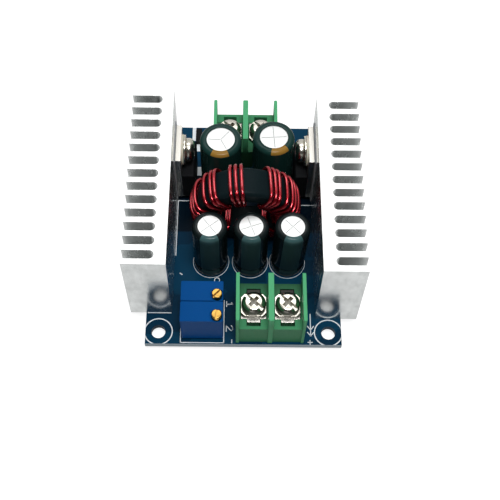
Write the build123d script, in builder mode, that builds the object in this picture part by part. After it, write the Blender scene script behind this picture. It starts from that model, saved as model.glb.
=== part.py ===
from build123d import *
import os
from math import cos, radians, sin, sqrt, tan

os.makedirs("parts", exist_ok=True)

# A direct-current converter module: a circuit board between two finned heatsinks that stand on
# its long edges, with an upright ring coil, five round capacitors, two multi-turn trimmers and
# two barrier terminals. Millimetres. The origin is the centre of the mounting holes on the
# board's underside, +Z up, the output terminal at -Y and the input terminal at +Y.

# Circuit board
board_length = 60.0
board_width = 45.0
board_thickness = 1.6
mounting_hole_diameter = 3.2
mounting_hole_inset = 3.0
lead_hole_clearance = 0.1
lead_hole_sides = 6
wire_end_sides = 6
pin_sides = 12

# Heatsinks, extruded upwards, with slots that open outwards
sink_length = 45.0
sink_thickness = 9.6
sink_height = 24.9
sink_slot_count = 13
sink_slot_width = 1.95
sink_base_thickness = 2.7
left_sink_centre_y = 0.2
right_sink_centre_y = -1.0
sink_pin_diameter = 1.6
sink_pin_seat = 4.0
sink_pin_end_inset = 5.5
sink_pin_reach = 1.9
sink_pin_clearance = 0.02

# Transistors in flat tab cases, screwed to the heatsinks' inner faces
tab_width = 10.1
tab_thickness = 1.3
tab_height = 15.8
tab_hole_diameter = 3.7
tab_hole_drop = 2.8
tab_bare_height = 6.6
moulding_thickness = 3.2
moulding_draft = 0.5
moulding_draft_height = 1.0
transistor_rise = 1.5
transistor_y = 13.4
transistor_lead_width = 0.8
transistor_lead_thickness = 0.5
transistor_lead_offset = 2.5
left_lead_count = 5
left_lead_pitch = 1.7
right_lead_count = 3
right_lead_pitch = 2.54
pad_thickness = 0.25
pad_margin = 0.7

# Transistor screws, each with an insulating bush and a washer
bush_flange_diameter = 7.2
bush_flange_thickness = 0.5
bush_clearance = 0.05
bush_sleeve_length = 1.2
washer_diameter = 7.0
washer_thickness = 0.5
screw_shank_diameter = 2.9
screw_head_diameter = 5.5
screw_head_height = 2.0
screw_head_edge = 0.65
screw_head_edge_width = 0.52
transistor_screw_reach = 3.2
transistor_screw_tip_gap = 0.3
transistor_slot_turn = 35.0

# Barrier terminals
fence_height = 13.0
fence_end_thickness = 0.8
fence_middle_thickness = 1.25
pole_width = 6.35
terminal_depth = 11.2
terminal_body_height = 7.3
terminal_edge_inset = 0.7
input_edge_inset = 1.05
output_terminal_x = 6.0
input_terminal_x = 0.15
seat_corner = 1.3
seat_depth = 1.0
seat_rear = 3.4
seat_clearance = 0.1
lip_slot_depth = 1.7
screw_well_clearance = 0.35
screw_well_floor = 1.2
strip_thickness = 0.8
strip_front = 3.05
strip_rear_inset = 1.2
strip_tongue_width = 3.0
strip_lip_height = 1.9
terminal_pin_width = 1.0
clamp_side_gap = 0.3
clamp_depth = 5.4
clamp_thickness = 0.9
clamp_corner = 0.8
thread_clearance = 0.05
clamp_hole_clearance = 0.1
terminal_screw_length = 6.0
terminal_slot_turn = -42.0
driver_slot_width = 0.8
driver_slot_depth = 0.7
driver_cross_width = 1.0
driver_cross_length = 3.1
driver_cross_depth = 1.2

# Trimmers
trimmer_length = 9.5
trimmer_width = 4.83
trimmer_height = 10.2
trimmer_gap = 0.17
trimmer_edge = 0.2
trimmer_foot_height = 0.5
trimmer_foot_width = 1.2
trimmer_foot_inset = 0.2
trimmer_edge_inset = 1.23
trimmer_x = -9.35
trimmer_screw_diameter = 2.3
trimmer_screw_rise = 1.1
trimmer_screw_depth = 2.6
trimmer_screw_end_inset = 1.4
trimmer_screw_offset = 1.0
trimmer_screw_clearance = 0.05
trimmer_screw_end_gap = 0.1
trimmer_screw_edge = 0.15
front_trimmer_turn = 82.0
rear_trimmer_turn = 45.0
trimmer_recess_diameter = 3.1
trimmer_recess_depth = 0.4
trimmer_slot_width = 0.5
trimmer_slot_depth = 0.6
trimmer_pin_pitch = 2.54
trimmer_pin_stagger = 1.1
trimmer_pin_width = 0.5

# Ring coil, standing on edge, and leaning a little to the front
core_diameter = 22.6
core_bore = 14.0
core_thickness = 7.2
core_edge = 0.8
coil_x = 0.2
coil_foot_y = 0.55
coil_lean = 3.0
coil_rise = 0.15
wire_diameter = 0.85
wire_sides = 5
strand_pitch = 0.95
strand_gap = 0.04
inner_run_gap = 0.25
strand_lean = 5.0
turn_angles = [-139.0, -107.0, -75.0, -43.0, -11.0, 33.0, 66.0, 100.0, 133.0]
strands_per_turn = 3
coil_lead_x = 8.7
coil_lead_top = 5.2
coil_lead_inset = 0.5
coil_lead_slot_length = 3.4
coil_lead_slot_width = 1.3

# Capacitors, each a sealed can in a shrunk sleeve, on a rubber bung
sleeve_wall = 0.2
sleeve_edge = 0.6
sleeve_opening_ratio = 0.74
groove_height = 2.8
groove_depth = 0.4
groove_half_width = 0.6
bung_height = 0.5
bung_inset = 0.9
capacitor_lead_diameter = 0.65
capacitor_lead_end_gap = 0.01
output_capacitor_diameter = 8.0
output_capacitor_height = 17.8
output_capacitor_lead_pitch = 3.5
output_capacitor_middle_x = 1.5
output_capacitor_left_gap = 1.3
output_capacitor_right_gap = 0.8
output_capacitor_lean = 1.6
coil_to_capacitor_gap = 0.05
input_capacitor_diameter = 9.7
input_capacitor_height = 20.8
input_capacitor_lead_pitch = 5.0
input_capacitor_terminal_gap = 0.65
input_capacitor_gap = 2.6
left_capacitor_side_gap = 1.25
right_capacitor_side_gap = 0.25
input_capacitor_lean = 2.0

# Solder joints and small surface parts
solder_margin = 0.24
solder_height = 1.0
solder_edge = 0.4
diode_length = 4.4
diode_width = 1.5
diode_height = 1.1
diode_edge = 0.15
diode_x = -11.7
diode_back_inset = 3.1
chip_length = 5.0
chip_width = 4.0
chip_height = 1.4
chip_edge = 0.3
chip_foot_height = 0.12
chip_x = 0.0
chip_y = 0.5
chip_lead_pitch = 1.27
chip_lead_width = 0.42
chip_lead_reach = 0.95
chip_lead_knee = 0.43
chip_lead_thickness = 0.15
chip_leads_per_side = 4
shunt_length = 6.4
shunt_width = 3.2
shunt_height = 0.7
shunt_x = -3.2
shunt_terminal_distance = 8.5
shunt_pitch = 3.6
shunt_count = 2
chip_resistor_length = 2.0
chip_resistor_width = 1.25
chip_resistor_height = 0.55
chip_resistor_pitch = 2.4
chip_resistor_columns = 4
chip_resistor_x = 0.0
chip_resistor_y = 6.2

# Places worked out from the sizes above
board_top = board_thickness
mounting_spacing_x = board_width - 2 * mounting_hole_inset
mounting_spacing_y = board_length - 2 * mounting_hole_inset
moulding_height = tab_height - tab_bare_height
transistor_stack = moulding_thickness + tab_thickness + pad_thickness
capacitor_side_gaps = left_capacitor_side_gap + right_capacitor_side_gap
transistor_spacing = 2 * input_capacitor_diameter + input_capacitor_gap + capacitor_side_gaps
sink_inner_x = transistor_spacing / 2 + transistor_stack
sink_outer_x = sink_inner_x + sink_thickness
fin_thickness = (sink_length - sink_slot_count * sink_slot_width) / (sink_slot_count + 1)
sink_pitch = fin_thickness + sink_slot_width
transistor_bottom = board_top + transistor_rise
tab_hole_z = transistor_bottom + tab_height - tab_hole_drop
tab_back_x = sink_inner_x - pad_thickness
tab_front_x = tab_back_x - tab_thickness
moulding_front_x = tab_front_x - moulding_thickness
terminal_width = 2 * pole_width + fence_middle_thickness + 2 * fence_end_thickness
pole_offset = (pole_width + fence_middle_thickness) / 2
clamp_width = pole_width - 2 * clamp_side_gap
strip_width = clamp_width
seat_width = strip_width + 2 * seat_clearance
seat_front = strip_front + seat_clearance
lip_slot_width = strip_tongue_width + 2 * seat_clearance
seat_floor_height = terminal_body_height - seat_depth
strip_top = seat_floor_height + strip_thickness
clamp_top = strip_top + clamp_thickness
output_terminal_y = -board_length / 2 + terminal_edge_inset + terminal_depth / 2
input_terminal_y = board_length / 2 - input_edge_inset - terminal_depth / 2
core_radius = core_diameter / 2
bore_radius = core_bore / 2
coil_axis_z = board_top + coil_rise + wire_diameter + core_radius
coil_axis_y = coil_foot_y - (coil_axis_z - board_top) * tan(radians(coil_lean))
front_run = core_thickness / 2 + wire_diameter + strand_gap
capacitor_top_z = board_top + output_capacitor_height
coil_front_y = coil_axis_y - front_run - (capacitor_top_z - coil_axis_z) * tan(radians(coil_lean))
output_capacitor_y = coil_front_y - coil_to_capacitor_gap - output_capacitor_diameter / 2
input_inner_face_y = input_terminal_y - terminal_depth / 2
input_capacitor_y = input_inner_face_y - input_capacitor_terminal_gap - input_capacitor_diameter / 2
trimmer_front_y = -board_length / 2 + trimmer_edge_inset + trimmer_width / 2
shunt_y = output_terminal_y + shunt_terminal_distance

# Lead positions on the board, gathered as the parts are placed: (x, y, hole radius)
soldered_leads = []


def save(piece, name):
    """Names a finished piece and writes its own file."""
    piece.part.label = name
    export_step(piece.part, f"parts/{name}.step")


def upright(place, x=0.0, y=0.0):
    """A plane across the piece at place, with its X kept and its Y along the piece's height."""
    origin = place.from_local_coords(Vector(x, y, 0))
    return Plane(origin=origin, x_dir=place.x_dir, z_dir=-place.y_dir)


def sideways(place, x=0.0):
    """A plane along the piece at place, with its X along the piece's depth and its Y up."""
    origin = place.from_local_coords(Vector(x, 0, 0))
    return Plane(origin=origin, x_dir=place.y_dir, z_dir=place.x_dir)


# Heatsinks
def heatsink(side, centre_y):
    """One extrusion: a base plate on the board's edge and fins that point outwards."""
    root_x = sink_inner_x + sink_base_thickness + sink_slot_width / 2
    with BuildPart() as sink:
        with BuildSketch(Plane.XY.offset(board_top)):
            with Locations((side * (sink_inner_x + sink_outer_x) / 2, centre_y)):
                Rectangle(sink_thickness, sink_length)
            with Locations((side * root_x, centre_y)):
                with GridLocations(0, sink_pitch, 1, sink_slot_count):
                    Circle(sink_slot_width / 2, mode=Mode.SUBTRACT)
            with Locations((side * (root_x + sink_outer_x) / 2, centre_y)):
                with GridLocations(0, sink_pitch, 1, sink_slot_count):
                    Rectangle(sink_outer_x - root_x, sink_slot_width, mode=Mode.SUBTRACT)
        extrude(amount=sink_height)
        pin_x = side * (sink_inner_x + sink_base_thickness / 2)
        with BuildSketch(Plane.XY.offset(board_top)):
            with Locations(*[(pin_x, y) for y in sink_pin_rows(centre_y)]):
                RegularPolygon(sink_pin_diameter / 2 + sink_pin_clearance, pin_sides)
        extrude(amount=sink_pin_seat, mode=Mode.SUBTRACT)
        inner_face = Plane(
            origin=(side * sink_inner_x, transistor_y, tab_hole_z), x_dir=(0, 1, 0), z_dir=(side, 0, 0)
        )
        with BuildSketch(inner_face):
            Circle(screw_shank_diameter / 2 + thread_clearance)
        extrude(amount=transistor_screw_reach, mode=Mode.SUBTRACT)
    return sink


def sink_pin_rows(centre_y):
    """The places of a heatsink's two solder pins along the board."""
    reach = sink_length / 2 - sink_pin_end_inset
    return centre_y - reach, centre_y + reach


sinks = {"left": (-1, left_sink_centre_y), "right": (1, right_sink_centre_y)}
sink_pins = []
for side_name, (side, sink_centre_y) in sinks.items():
    save(heatsink(side, sink_centre_y), f"{side_name}_heatsink")
    for pin_y in sink_pin_rows(sink_centre_y):
        sink_pins.append((side * (sink_inner_x + sink_base_thickness / 2), pin_y))

with BuildPart() as heatsink_pins:
    with BuildSketch(Plane.XY.offset(-sink_pin_reach)):
        with Locations(*sink_pins):
            RegularPolygon(sink_pin_diameter / 2, pin_sides)
    extrude(amount=sink_pin_reach + board_thickness + sink_pin_seat)
save(heatsink_pins, "heatsink_pins")


# Transistors
def transistor(side_name, side, lead_count, lead_pitch):
    """The plated tab with its leads, the moulded body in front of it, and the pad behind it."""
    lead_x = side * (tab_back_x - transistor_lead_offset)
    lead_rows = [transistor_y + (i - (lead_count - 1) / 2) * lead_pitch for i in range(lead_count)]
    with BuildPart() as tab:
        back = Plane(
            origin=(side * tab_back_x, transistor_y, transistor_bottom), x_dir=(0, 1, 0), z_dir=(side, 0, 0)
        )
        with BuildSketch(back):
            with Locations((0, side * tab_height / 2)):
                Rectangle(tab_width, tab_height)
            with Locations((0, side * (tab_height - tab_hole_drop))):
                Circle(tab_hole_diameter / 2, mode=Mode.SUBTRACT)
        extrude(amount=-tab_thickness)
    save(tab, f"{side_name}_transistor_tab")
    with BuildPart() as leads:
        with BuildSketch():
            with Locations(*[(lead_x, y) for y in lead_rows]):
                Rectangle(transistor_lead_thickness, transistor_lead_width)
        extrude(amount=transistor_bottom)
    save(leads, f"{side_name}_transistor_leads")
    with BuildPart() as moulding:
        with BuildSketch(Plane.XY.offset(transistor_bottom)):
            with Locations((side * (tab_front_x + moulding_front_x) / 2, transistor_y)):
                Rectangle(moulding_thickness, tab_width)
        extrude(amount=moulding_height)
        front = moulding.faces().sort_by(Axis.X)[0 if side > 0 else -1]
        chamfer(front.edges().group_by(Axis.Z)[-1], moulding_draft_height, moulding_draft)
    save(moulding, f"{side_name}_transistor_body")
    with BuildPart() as pad:
        face = Plane(
            origin=(side * sink_inner_x, transistor_y, transistor_bottom), x_dir=(0, 1, 0), z_dir=(side, 0, 0)
        )
        with BuildSketch(face):
            with Locations((0, side * (tab_height + pad_margin - transistor_rise / 2) / 2)):
                Rectangle(tab_width + 2 * pad_margin, tab_height + pad_margin + transistor_rise / 2)
            with Locations((0, side * (tab_height - tab_hole_drop))):
                Circle(tab_hole_diameter / 2, mode=Mode.SUBTRACT)
        extrude(amount=-pad_thickness)
    save(pad, f"{side_name}_insulating_pad")
    reach = sqrt(transistor_lead_width**2 + transistor_lead_thickness**2) / 2
    soldered_leads.extend((lead_x, y, reach + lead_hole_clearance) for y in lead_rows)


transistor("left", -1, left_lead_count, left_lead_pitch)
transistor("right", 1, right_lead_count, right_lead_pitch)


# Screws: one pan head for the transistors and the terminals
def pan_head_screw(seat, shank_length, turn=0.0):
    """A screw whose head sits on its seat plane, with a cross recess and one long slot in it."""
    with BuildPart() as screw:
        with BuildSketch(seat):
            Circle(screw_head_diameter / 2)
        extrude(amount=screw_head_height)
        top_face = screw.faces().filter_by(GeomType.PLANE).sort_by(
            lambda face: seat.to_local_coords(face.center()).Z
        )[-1]
        chamfer(top_face.edges(), screw_head_edge, screw_head_edge_width)
        with BuildSketch(seat):
            RegularPolygon(screw_shank_diameter / 2, pin_sides)
        extrude(amount=-shank_length)
        for length, width, depth, angle in (
            (2 * screw_head_diameter, driver_slot_width, driver_slot_depth, turn),
            (driver_cross_length, driver_cross_width, driver_cross_depth, turn),
            (driver_cross_length, driver_cross_width, driver_cross_depth, turn + 90),
        ):
            with BuildSketch(seat.offset(screw_head_height)):
                Rectangle(length, width, rotation=angle)
            extrude(amount=-depth, mode=Mode.SUBTRACT)
    return screw


bush_face_x = tab_front_x - bush_flange_thickness
washer_face_x = bush_face_x - washer_thickness
with BuildPart() as transistor_bushes:
    for side in (-1, 1):
        seat = Plane(origin=(side * tab_front_x, transistor_y, tab_hole_z), z_dir=(side, 0, 0))
        with BuildSketch(seat):
            Circle(bush_flange_diameter / 2)
        extrude(amount=-bush_flange_thickness)
        with BuildSketch(seat):
            RegularPolygon(tab_hole_diameter / 2 - bush_clearance, pin_sides)
        extrude(amount=bush_sleeve_length)
        with BuildSketch(seat.offset(-bush_flange_thickness)):
            Circle(screw_shank_diameter / 2 + thread_clearance)
        extrude(amount=bush_flange_thickness + bush_sleeve_length, mode=Mode.SUBTRACT)
save(transistor_bushes, "transistor_bushes")

with BuildPart() as transistor_washers:
    for side in (-1, 1):
        seat = Plane(origin=(side * bush_face_x, transistor_y, tab_hole_z), z_dir=(side, 0, 0))
        with BuildSketch(seat):
            Circle(washer_diameter / 2)
            Circle(screw_shank_diameter / 2 + thread_clearance, mode=Mode.SUBTRACT)
        extrude(amount=-washer_thickness)
save(transistor_washers, "transistor_washers")

for side_name, (side, _) in sinks.items():
    head_seat = Plane(origin=(side * washer_face_x, transistor_y, tab_hole_z), z_dir=(-side, 0, 0))
    shank = sink_inner_x - washer_face_x + transistor_screw_reach - transistor_screw_tip_gap
    save(pan_head_screw(head_seat, shank, transistor_slot_turn), f"{side_name}_transistor_screw")


# Barrier terminals. Each is built about its own place plane: the wires enter from its -Y.
def terminal_housing(place):
    """The moulded block with its fences, a seat, a lip slot and a screw well for each pole."""
    poles = [(-pole_offset, 0), (pole_offset, 0)]
    with BuildPart() as housing:
        with BuildSketch(place):
            Rectangle(terminal_width, terminal_depth)
        extrude(amount=terminal_body_height)
        with BuildSketch(place.offset(terminal_body_height)):
            Rectangle(fence_middle_thickness, terminal_depth)
            with Locations(*[(s * (terminal_width - fence_end_thickness) / 2, 0) for s in (-1, 1)]):
                Rectangle(fence_end_thickness, terminal_depth)
        extrude(amount=fence_height - terminal_body_height)
        for x, _ in poles:
            floor = place.offset(seat_floor_height)
            floor.origin = floor.from_local_coords(Vector(x, 0, 0))
            with BuildSketch(floor):
                with BuildLine():
                    Polyline(
                        (-seat_width / 2, -seat_front),
                        (seat_width / 2, -seat_front),
                        (seat_width / 2, seat_rear - seat_corner),
                        (lip_slot_width / 2, seat_rear),
                        (lip_slot_width / 2, seat_rear + strip_thickness + seat_clearance),
                        (-lip_slot_width / 2, seat_rear + strip_thickness + seat_clearance),
                        (-lip_slot_width / 2, seat_rear),
                        (-seat_width / 2, seat_rear - seat_corner),
                        close=True,
                    )
                make_face()
            extrude(amount=terminal_body_height - seat_floor_height, mode=Mode.SUBTRACT)
        slot_floor_height = strip_top - strip_lip_height - seat_clearance
        with BuildSketch(place.offset(slot_floor_height)):
            with Locations(*[(x, -(strip_front + seat_front + lip_slot_depth) / 2) for x, _ in poles]):
                Rectangle(lip_slot_width, seat_front + lip_slot_depth - strip_front)
        extrude(amount=terminal_body_height - slot_floor_height, mode=Mode.SUBTRACT)
        with BuildSketch(place):
            with Locations(*[(x, seat_rear + strip_thickness / 2) for x, _ in poles]):
                Rectangle(lip_slot_width, strip_thickness + 2 * seat_clearance)
        extrude(amount=seat_floor_height, mode=Mode.SUBTRACT)
        with BuildSketch(place.offset(screw_well_floor)):
            with Locations(*poles):
                Circle(screw_shank_diameter / 2 + screw_well_clearance)
        extrude(amount=seat_floor_height - screw_well_floor, mode=Mode.SUBTRACT)
    return housing


def contact_strip(pole):
    """A bent strip: a lip at the front, a flat seat with the screw's thread, a tail to the board."""
    tail_y = seat_rear + strip_thickness
    with BuildPart() as strip:
        with BuildSketch(sideways(pole, -strip_tongue_width / 2)):
            with BuildLine():
                Polyline(
                    (-strip_front - strip_thickness, strip_top - strip_lip_height),
                    (-strip_front, strip_top - strip_lip_height),
                    (-strip_front, strip_top - strip_thickness),
                    (seat_rear, strip_top - strip_thickness),
                    (seat_rear, 0),
                    (tail_y, 0),
                    (tail_y, strip_top),
                    (-strip_front - strip_thickness, strip_top),
                    close=True,
                )
            make_face()
        extrude(amount=strip_tongue_width)
        with BuildSketch(pole.offset(seat_floor_height)):
            with Locations((0, -strip_rear_inset / 2)):
                Rectangle(strip_width, 2 * strip_front - strip_rear_inset)
        extrude(amount=strip_thickness)
        with BuildSketch(pole.offset(seat_floor_height)):
            Circle(screw_shank_diameter / 2 + thread_clearance)
        extrude(amount=strip_thickness, mode=Mode.SUBTRACT)
        with BuildSketch(pole.offset(-board_thickness)):
            with Locations((0, (seat_rear + tail_y) / 2)):
                Rectangle(terminal_pin_width, strip_thickness)
        extrude(amount=board_thickness)
    return strip


def clamp_plate(pole):
    """The washer plate that the screw carries, with its front and rear corners cut back."""
    with BuildPart() as plate:
        with BuildSketch(pole.offset(strip_top)):
            Rectangle(clamp_width, clamp_depth)
            chamfer(vertices(), clamp_corner)
            Circle(screw_shank_diameter / 2 + clamp_hole_clearance, mode=Mode.SUBTRACT)
        extrude(amount=clamp_thickness)
    return plate


output_place = Plane(origin=(output_terminal_x, output_terminal_y, board_top))
input_place = Plane(origin=(input_terminal_x, input_terminal_y, board_top), x_dir=(-1, 0, 0))
for terminal, place in {"output": output_place, "input": input_place}.items():
    save(terminal_housing(place), f"{terminal}_terminal_housing")
    for pole_name, pole_x in {"left": -pole_offset, "right": pole_offset}.items():
        local_x = pole_x if terminal == "output" else -pole_x
        pole = Plane(origin=place.from_local_coords(Vector(local_x, 0, 0)), x_dir=place.x_dir)
        save(contact_strip(pole), f"{terminal}_{pole_name}_contact")
        save(clamp_plate(pole), f"{terminal}_{pole_name}_clamp")
        terminal_screw = pan_head_screw(pole.offset(clamp_top), terminal_screw_length, terminal_slot_turn)
        save(terminal_screw, f"{terminal}_{pole_name}_screw")
        tail = pole.from_local_coords(Vector(0, seat_rear + strip_thickness / 2, 0))
        reach = sqrt(terminal_pin_width**2 + strip_thickness**2) / 2
        soldered_leads.append((tail.X, tail.Y, reach + lead_hole_clearance))


# Trimmers
def trimmer(name, centre_y, slot_turn):
    """A box with feet and a screw near one corner of its top, which turns a worm inside."""
    screw_x = trimmer_x + trimmer_length / 2 - trimmer_screw_end_inset
    screw_y = centre_y - trimmer_screw_offset
    screw_place = Plane(origin=(screw_x, screw_y, board_top + trimmer_height))
    with BuildPart() as housing:
        with BuildSketch(Plane.XY.offset(board_top + trimmer_foot_height)):
            with Locations((trimmer_x, centre_y)):
                Rectangle(trimmer_length, trimmer_width)
        extrude(amount=trimmer_height - trimmer_foot_height)
        chamfer(housing.edges().filter_by(Axis.Z), trimmer_edge)
        foot_x = (trimmer_length - trimmer_foot_width) / 2 - trimmer_foot_inset
        with BuildSketch(Plane.XY.offset(board_top)):
            with Locations((trimmer_x - foot_x, centre_y), (trimmer_x + foot_x, centre_y)):
                Rectangle(trimmer_foot_width, trimmer_width - 2 * trimmer_foot_inset)
        extrude(amount=trimmer_foot_height)
        with BuildSketch(screw_place):
            Circle(trimmer_recess_diameter / 2)
        extrude(amount=-trimmer_recess_depth, mode=Mode.SUBTRACT)
        with BuildSketch(screw_place):
            Circle(trimmer_screw_diameter / 2 + trimmer_screw_clearance)
        extrude(amount=-trimmer_screw_depth - trimmer_screw_end_gap, mode=Mode.SUBTRACT)
    save(housing, f"{name}_housing")
    with BuildPart() as screw:
        with BuildSketch(screw_place.offset(-trimmer_screw_depth)):
            Circle(trimmer_screw_diameter / 2)
        extrude(amount=trimmer_screw_depth + trimmer_screw_rise)
        chamfer(screw.edges().group_by(Axis.Z)[-1], trimmer_screw_edge)
        with BuildSketch(screw_place.offset(trimmer_screw_rise)):
            Rectangle(2 * trimmer_screw_diameter, trimmer_slot_width, rotation=slot_turn)
        extrude(amount=-trimmer_slot_depth, mode=Mode.SUBTRACT)
    save(screw, f"{name}_screw")
    front_y, rear_y = centre_y - trimmer_pin_stagger, centre_y + trimmer_pin_stagger
    pins = [
        (trimmer_x - trimmer_pin_pitch, rear_y),
        (trimmer_x, front_y),
        (trimmer_x + trimmer_pin_pitch, rear_y),
    ]
    soldered_leads.extend((x, y, trimmer_pin_width / sqrt(2) + lead_hole_clearance) for x, y in pins)
    return pins


trimmer_rear_y = trimmer_front_y + trimmer_width + trimmer_gap
trimmer_pin_places = trimmer("front_trimmer", trimmer_front_y, front_trimmer_turn)
trimmer_pin_places += trimmer("rear_trimmer", trimmer_rear_y, rear_trimmer_turn)
with BuildPart() as trimmer_pins:
    with BuildSketch():
        with Locations(*trimmer_pin_places):
            Rectangle(trimmer_pin_width, trimmer_pin_width)
    extrude(amount=board_top + trimmer_foot_height)
save(trimmer_pins, "trimmer_pins")

# Ring coil: the core's axis lies along the coil plane's normal, its rim turns in that plane
coil_place = Plane(
    origin=(coil_x, coil_axis_y, coil_axis_z),
    x_dir=(1, 0, 0),
    z_dir=(0, -cos(radians(coil_lean)), -sin(radians(coil_lean))),
)
with BuildPart() as coil_core:
    with BuildSketch(coil_place.offset(-core_thickness / 2)):
        Circle(core_radius)
        Circle(bore_radius, mode=Mode.SUBTRACT)
    extrude(amount=core_thickness)
    chamfer(coil_core.edges().filter_by(GeomType.CIRCLE), core_edge)
save(coil_core, "coil_core")

# Each strand is a closed loop with cut corners round the core's section. The strands of a turn
# lie side by side in planes that lean along the winding.
outer_run = core_radius + strand_gap + wire_diameter / 2
inner_run = bore_radius - inner_run_gap - wire_diameter / 2
side_run = core_thickness / 2 + strand_gap + wire_diameter / 2
strand_corner = core_edge + (2 - sqrt(2)) * (strand_gap + wire_diameter / 2)


def strand_loop(angle, sideways_shift):
    """A loop round the ring's section at an angle from the top, a little to one side."""
    radial = Vector(sin(radians(angle)), cos(radians(angle)), 0)
    across = Vector(cos(radians(angle)), -sin(radians(angle)), 0)
    slant = tan(radians(strand_lean))
    corners = [
        (outer_run, side_run - strand_corner),
        (outer_run - strand_corner, side_run),
        (inner_run + strand_corner, side_run),
        (inner_run, side_run - strand_corner),
        (inner_run, -side_run + strand_corner),
        (inner_run + strand_corner, -side_run),
        (outer_run - strand_corner, -side_run),
        (outer_run, -side_run + strand_corner),
    ]
    points = []
    for reach, along in corners:
        shift = sideways_shift + along * slant
        local = radial * reach + across * shift + Vector(0, 0, along)
        points.append(coil_place.from_local_coords(local))
    with BuildPart() as loop:
        with BuildLine() as path:
            Polyline(*points, close=True)
        start = path.edges()[0]
        with BuildSketch(Plane(origin=start @ 0.5, z_dir=start % 0.5)):
            RegularPolygon(wire_diameter / 2, wire_sides)
        sweep(path=path.wires()[0], transition=Transition.RIGHT)
    return loop


loops = []
for angle in turn_angles:
    for strand in range(strands_per_turn):
        shift = (strand - (strands_per_turn - 1) / 2) * strand_pitch
        loops.append(strand_loop(angle, shift).part)

coil_lead_y = coil_foot_y + side_run - coil_lead_inset
coil_lead_places = []
for side in (-1, 1):
    for strand in range(strands_per_turn):
        shift = (strand - (strands_per_turn - 1) / 2) * strand_pitch
        coil_lead_places.append((side * (coil_lead_x + shift) + coil_x, coil_lead_y))
coil_slot_places = [(side * coil_lead_x + coil_x, coil_lead_y) for side in (-1, 1)]
with BuildPart() as coil_winding:
    add(loops)
    with BuildSketch():
        with Locations(*coil_lead_places):
            RegularPolygon(wire_diameter / 2, wire_sides)
    extrude(amount=board_top + coil_lead_top)
save(coil_winding, "coil_winding")


# Capacitors
def leaning_place(x, y, lean_x, lean_y, radius):
    """The foot of a part that leans by the angles given, lifted so that its low edge clears."""
    up = Vector(tan(radians(lean_x)), tan(radians(lean_y)), 1).normalized()
    lift = radius * sqrt(1 - up.Z**2)
    across = Vector(0, 1, 0).cross(up)
    return Plane(origin=(x, y, board_top + lift), x_dir=across, z_dir=up)


def capacitor(name, place, diameter, height, lead_pitch):
    """A can in its sleeve, and the places of its two leads, one behind the other."""
    outer = diameter / 2
    can_radius = outer - sleeve_wall - groove_depth
    opening = outer * sleeve_opening_ratio
    groove = [
        (0, groove_height - groove_half_width),
        (groove_depth, groove_height),
        (0, groove_height + groove_half_width),
    ]
    section = upright(place)
    with BuildPart() as can:
        with BuildSketch(section):
            with BuildLine():
                Polyline(
                    (0, bung_height),
                    (can_radius, bung_height),
                    (can_radius, height - sleeve_wall),
                    (0, height - sleeve_wall),
                    close=True,
                )
            make_face()
        revolve(axis=Axis(place.origin, place.z_dir))
    save(can, f"{name}_can")
    with BuildPart() as sleeve:
        with BuildSketch(section):
            with BuildLine():
                Polyline(
                    (can_radius, bung_height / 2),
                    (outer, bung_height / 2),
                    *[(outer - inset, z) for inset, z in groove],
                    (outer, height - sleeve_edge),
                    (outer - sleeve_edge, height),
                    (opening, height),
                    (opening, height - sleeve_wall),
                    (can_radius, height - sleeve_wall),
                    close=True,
                )
            make_face()
        revolve(axis=Axis(place.origin, place.z_dir))
    save(sleeve, f"{name}_sleeve")
    leads = []
    for offset in (-lead_pitch / 2, lead_pitch / 2):
        foot = place.from_local_coords(Vector(0, offset, 0))
        leads.append(Plane(origin=foot, z_dir=place.z_dir))
        soldered_leads.append((foot.X, foot.Y, capacitor_lead_diameter / 2 + lead_hole_clearance))
    return leads


capacitor_spacing_left = output_capacitor_diameter + output_capacitor_left_gap
capacitor_spacing_right = output_capacitor_diameter + output_capacitor_right_gap
output_row = {
    "left": (output_capacitor_middle_x - capacitor_spacing_left, 0.0),
    "middle": (output_capacitor_middle_x, 0.0),
    "right": (output_capacitor_middle_x + capacitor_spacing_right, output_capacitor_lean),
}
input_radius = input_capacitor_diameter / 2
input_row = {
    "left": (-moulding_front_x + left_capacitor_side_gap + input_radius, 0.0),
    "right": (moulding_front_x - right_capacitor_side_gap - input_radius, input_capacitor_lean),
}
bungs = []
capacitor_leads = []
output_foot = output_capacitor_diameter / 2 - bung_inset
for spot, (x, lean) in output_row.items():
    place = leaning_place(x, output_capacitor_y, lean, 0.0, output_foot)
    bungs.append((place, output_foot))
    capacitor_leads += capacitor(
        f"output_{spot}_capacitor",
        place,
        output_capacitor_diameter,
        output_capacitor_height,
        output_capacitor_lead_pitch,
    )
input_foot = input_radius - bung_inset
for spot, (x, lean) in input_row.items():
    place = leaning_place(x, input_capacitor_y, 0.0, lean, input_foot)
    bungs.append((place, input_foot))
    capacitor_leads += capacitor(
        f"input_{spot}_capacitor",
        place,
        input_capacitor_diameter,
        input_capacitor_height,
        input_capacitor_lead_pitch,
    )

with BuildPart() as capacitor_bungs:
    for place, radius in bungs:
        with BuildSketch(place):
            RegularPolygon(radius, pin_sides)
        extrude(amount=bung_height)
save(capacitor_bungs, "capacitor_bungs")

with BuildPart() as capacitor_lead_wires:
    for foot in capacitor_leads:
        with BuildSketch(foot):
            RegularPolygon(capacitor_lead_diameter / 2, wire_end_sides)
        extrude(amount=capacitor_lead_end_gap - foot.origin.Z)
save(capacitor_lead_wires, "capacitor_leads")

# Surface parts: one diode beside the input, and the control parts under the board
with BuildPart() as input_diode:
    with BuildSketch(Plane.XY.offset(board_top)):
        with Locations((diode_x, board_length / 2 - diode_back_inset)):
            Rectangle(diode_width, diode_length)
    extrude(amount=diode_height)
    chamfer(input_diode.edges().group_by(Axis.Z)[-1], diode_edge)
save(input_diode, "input_diode")

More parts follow.
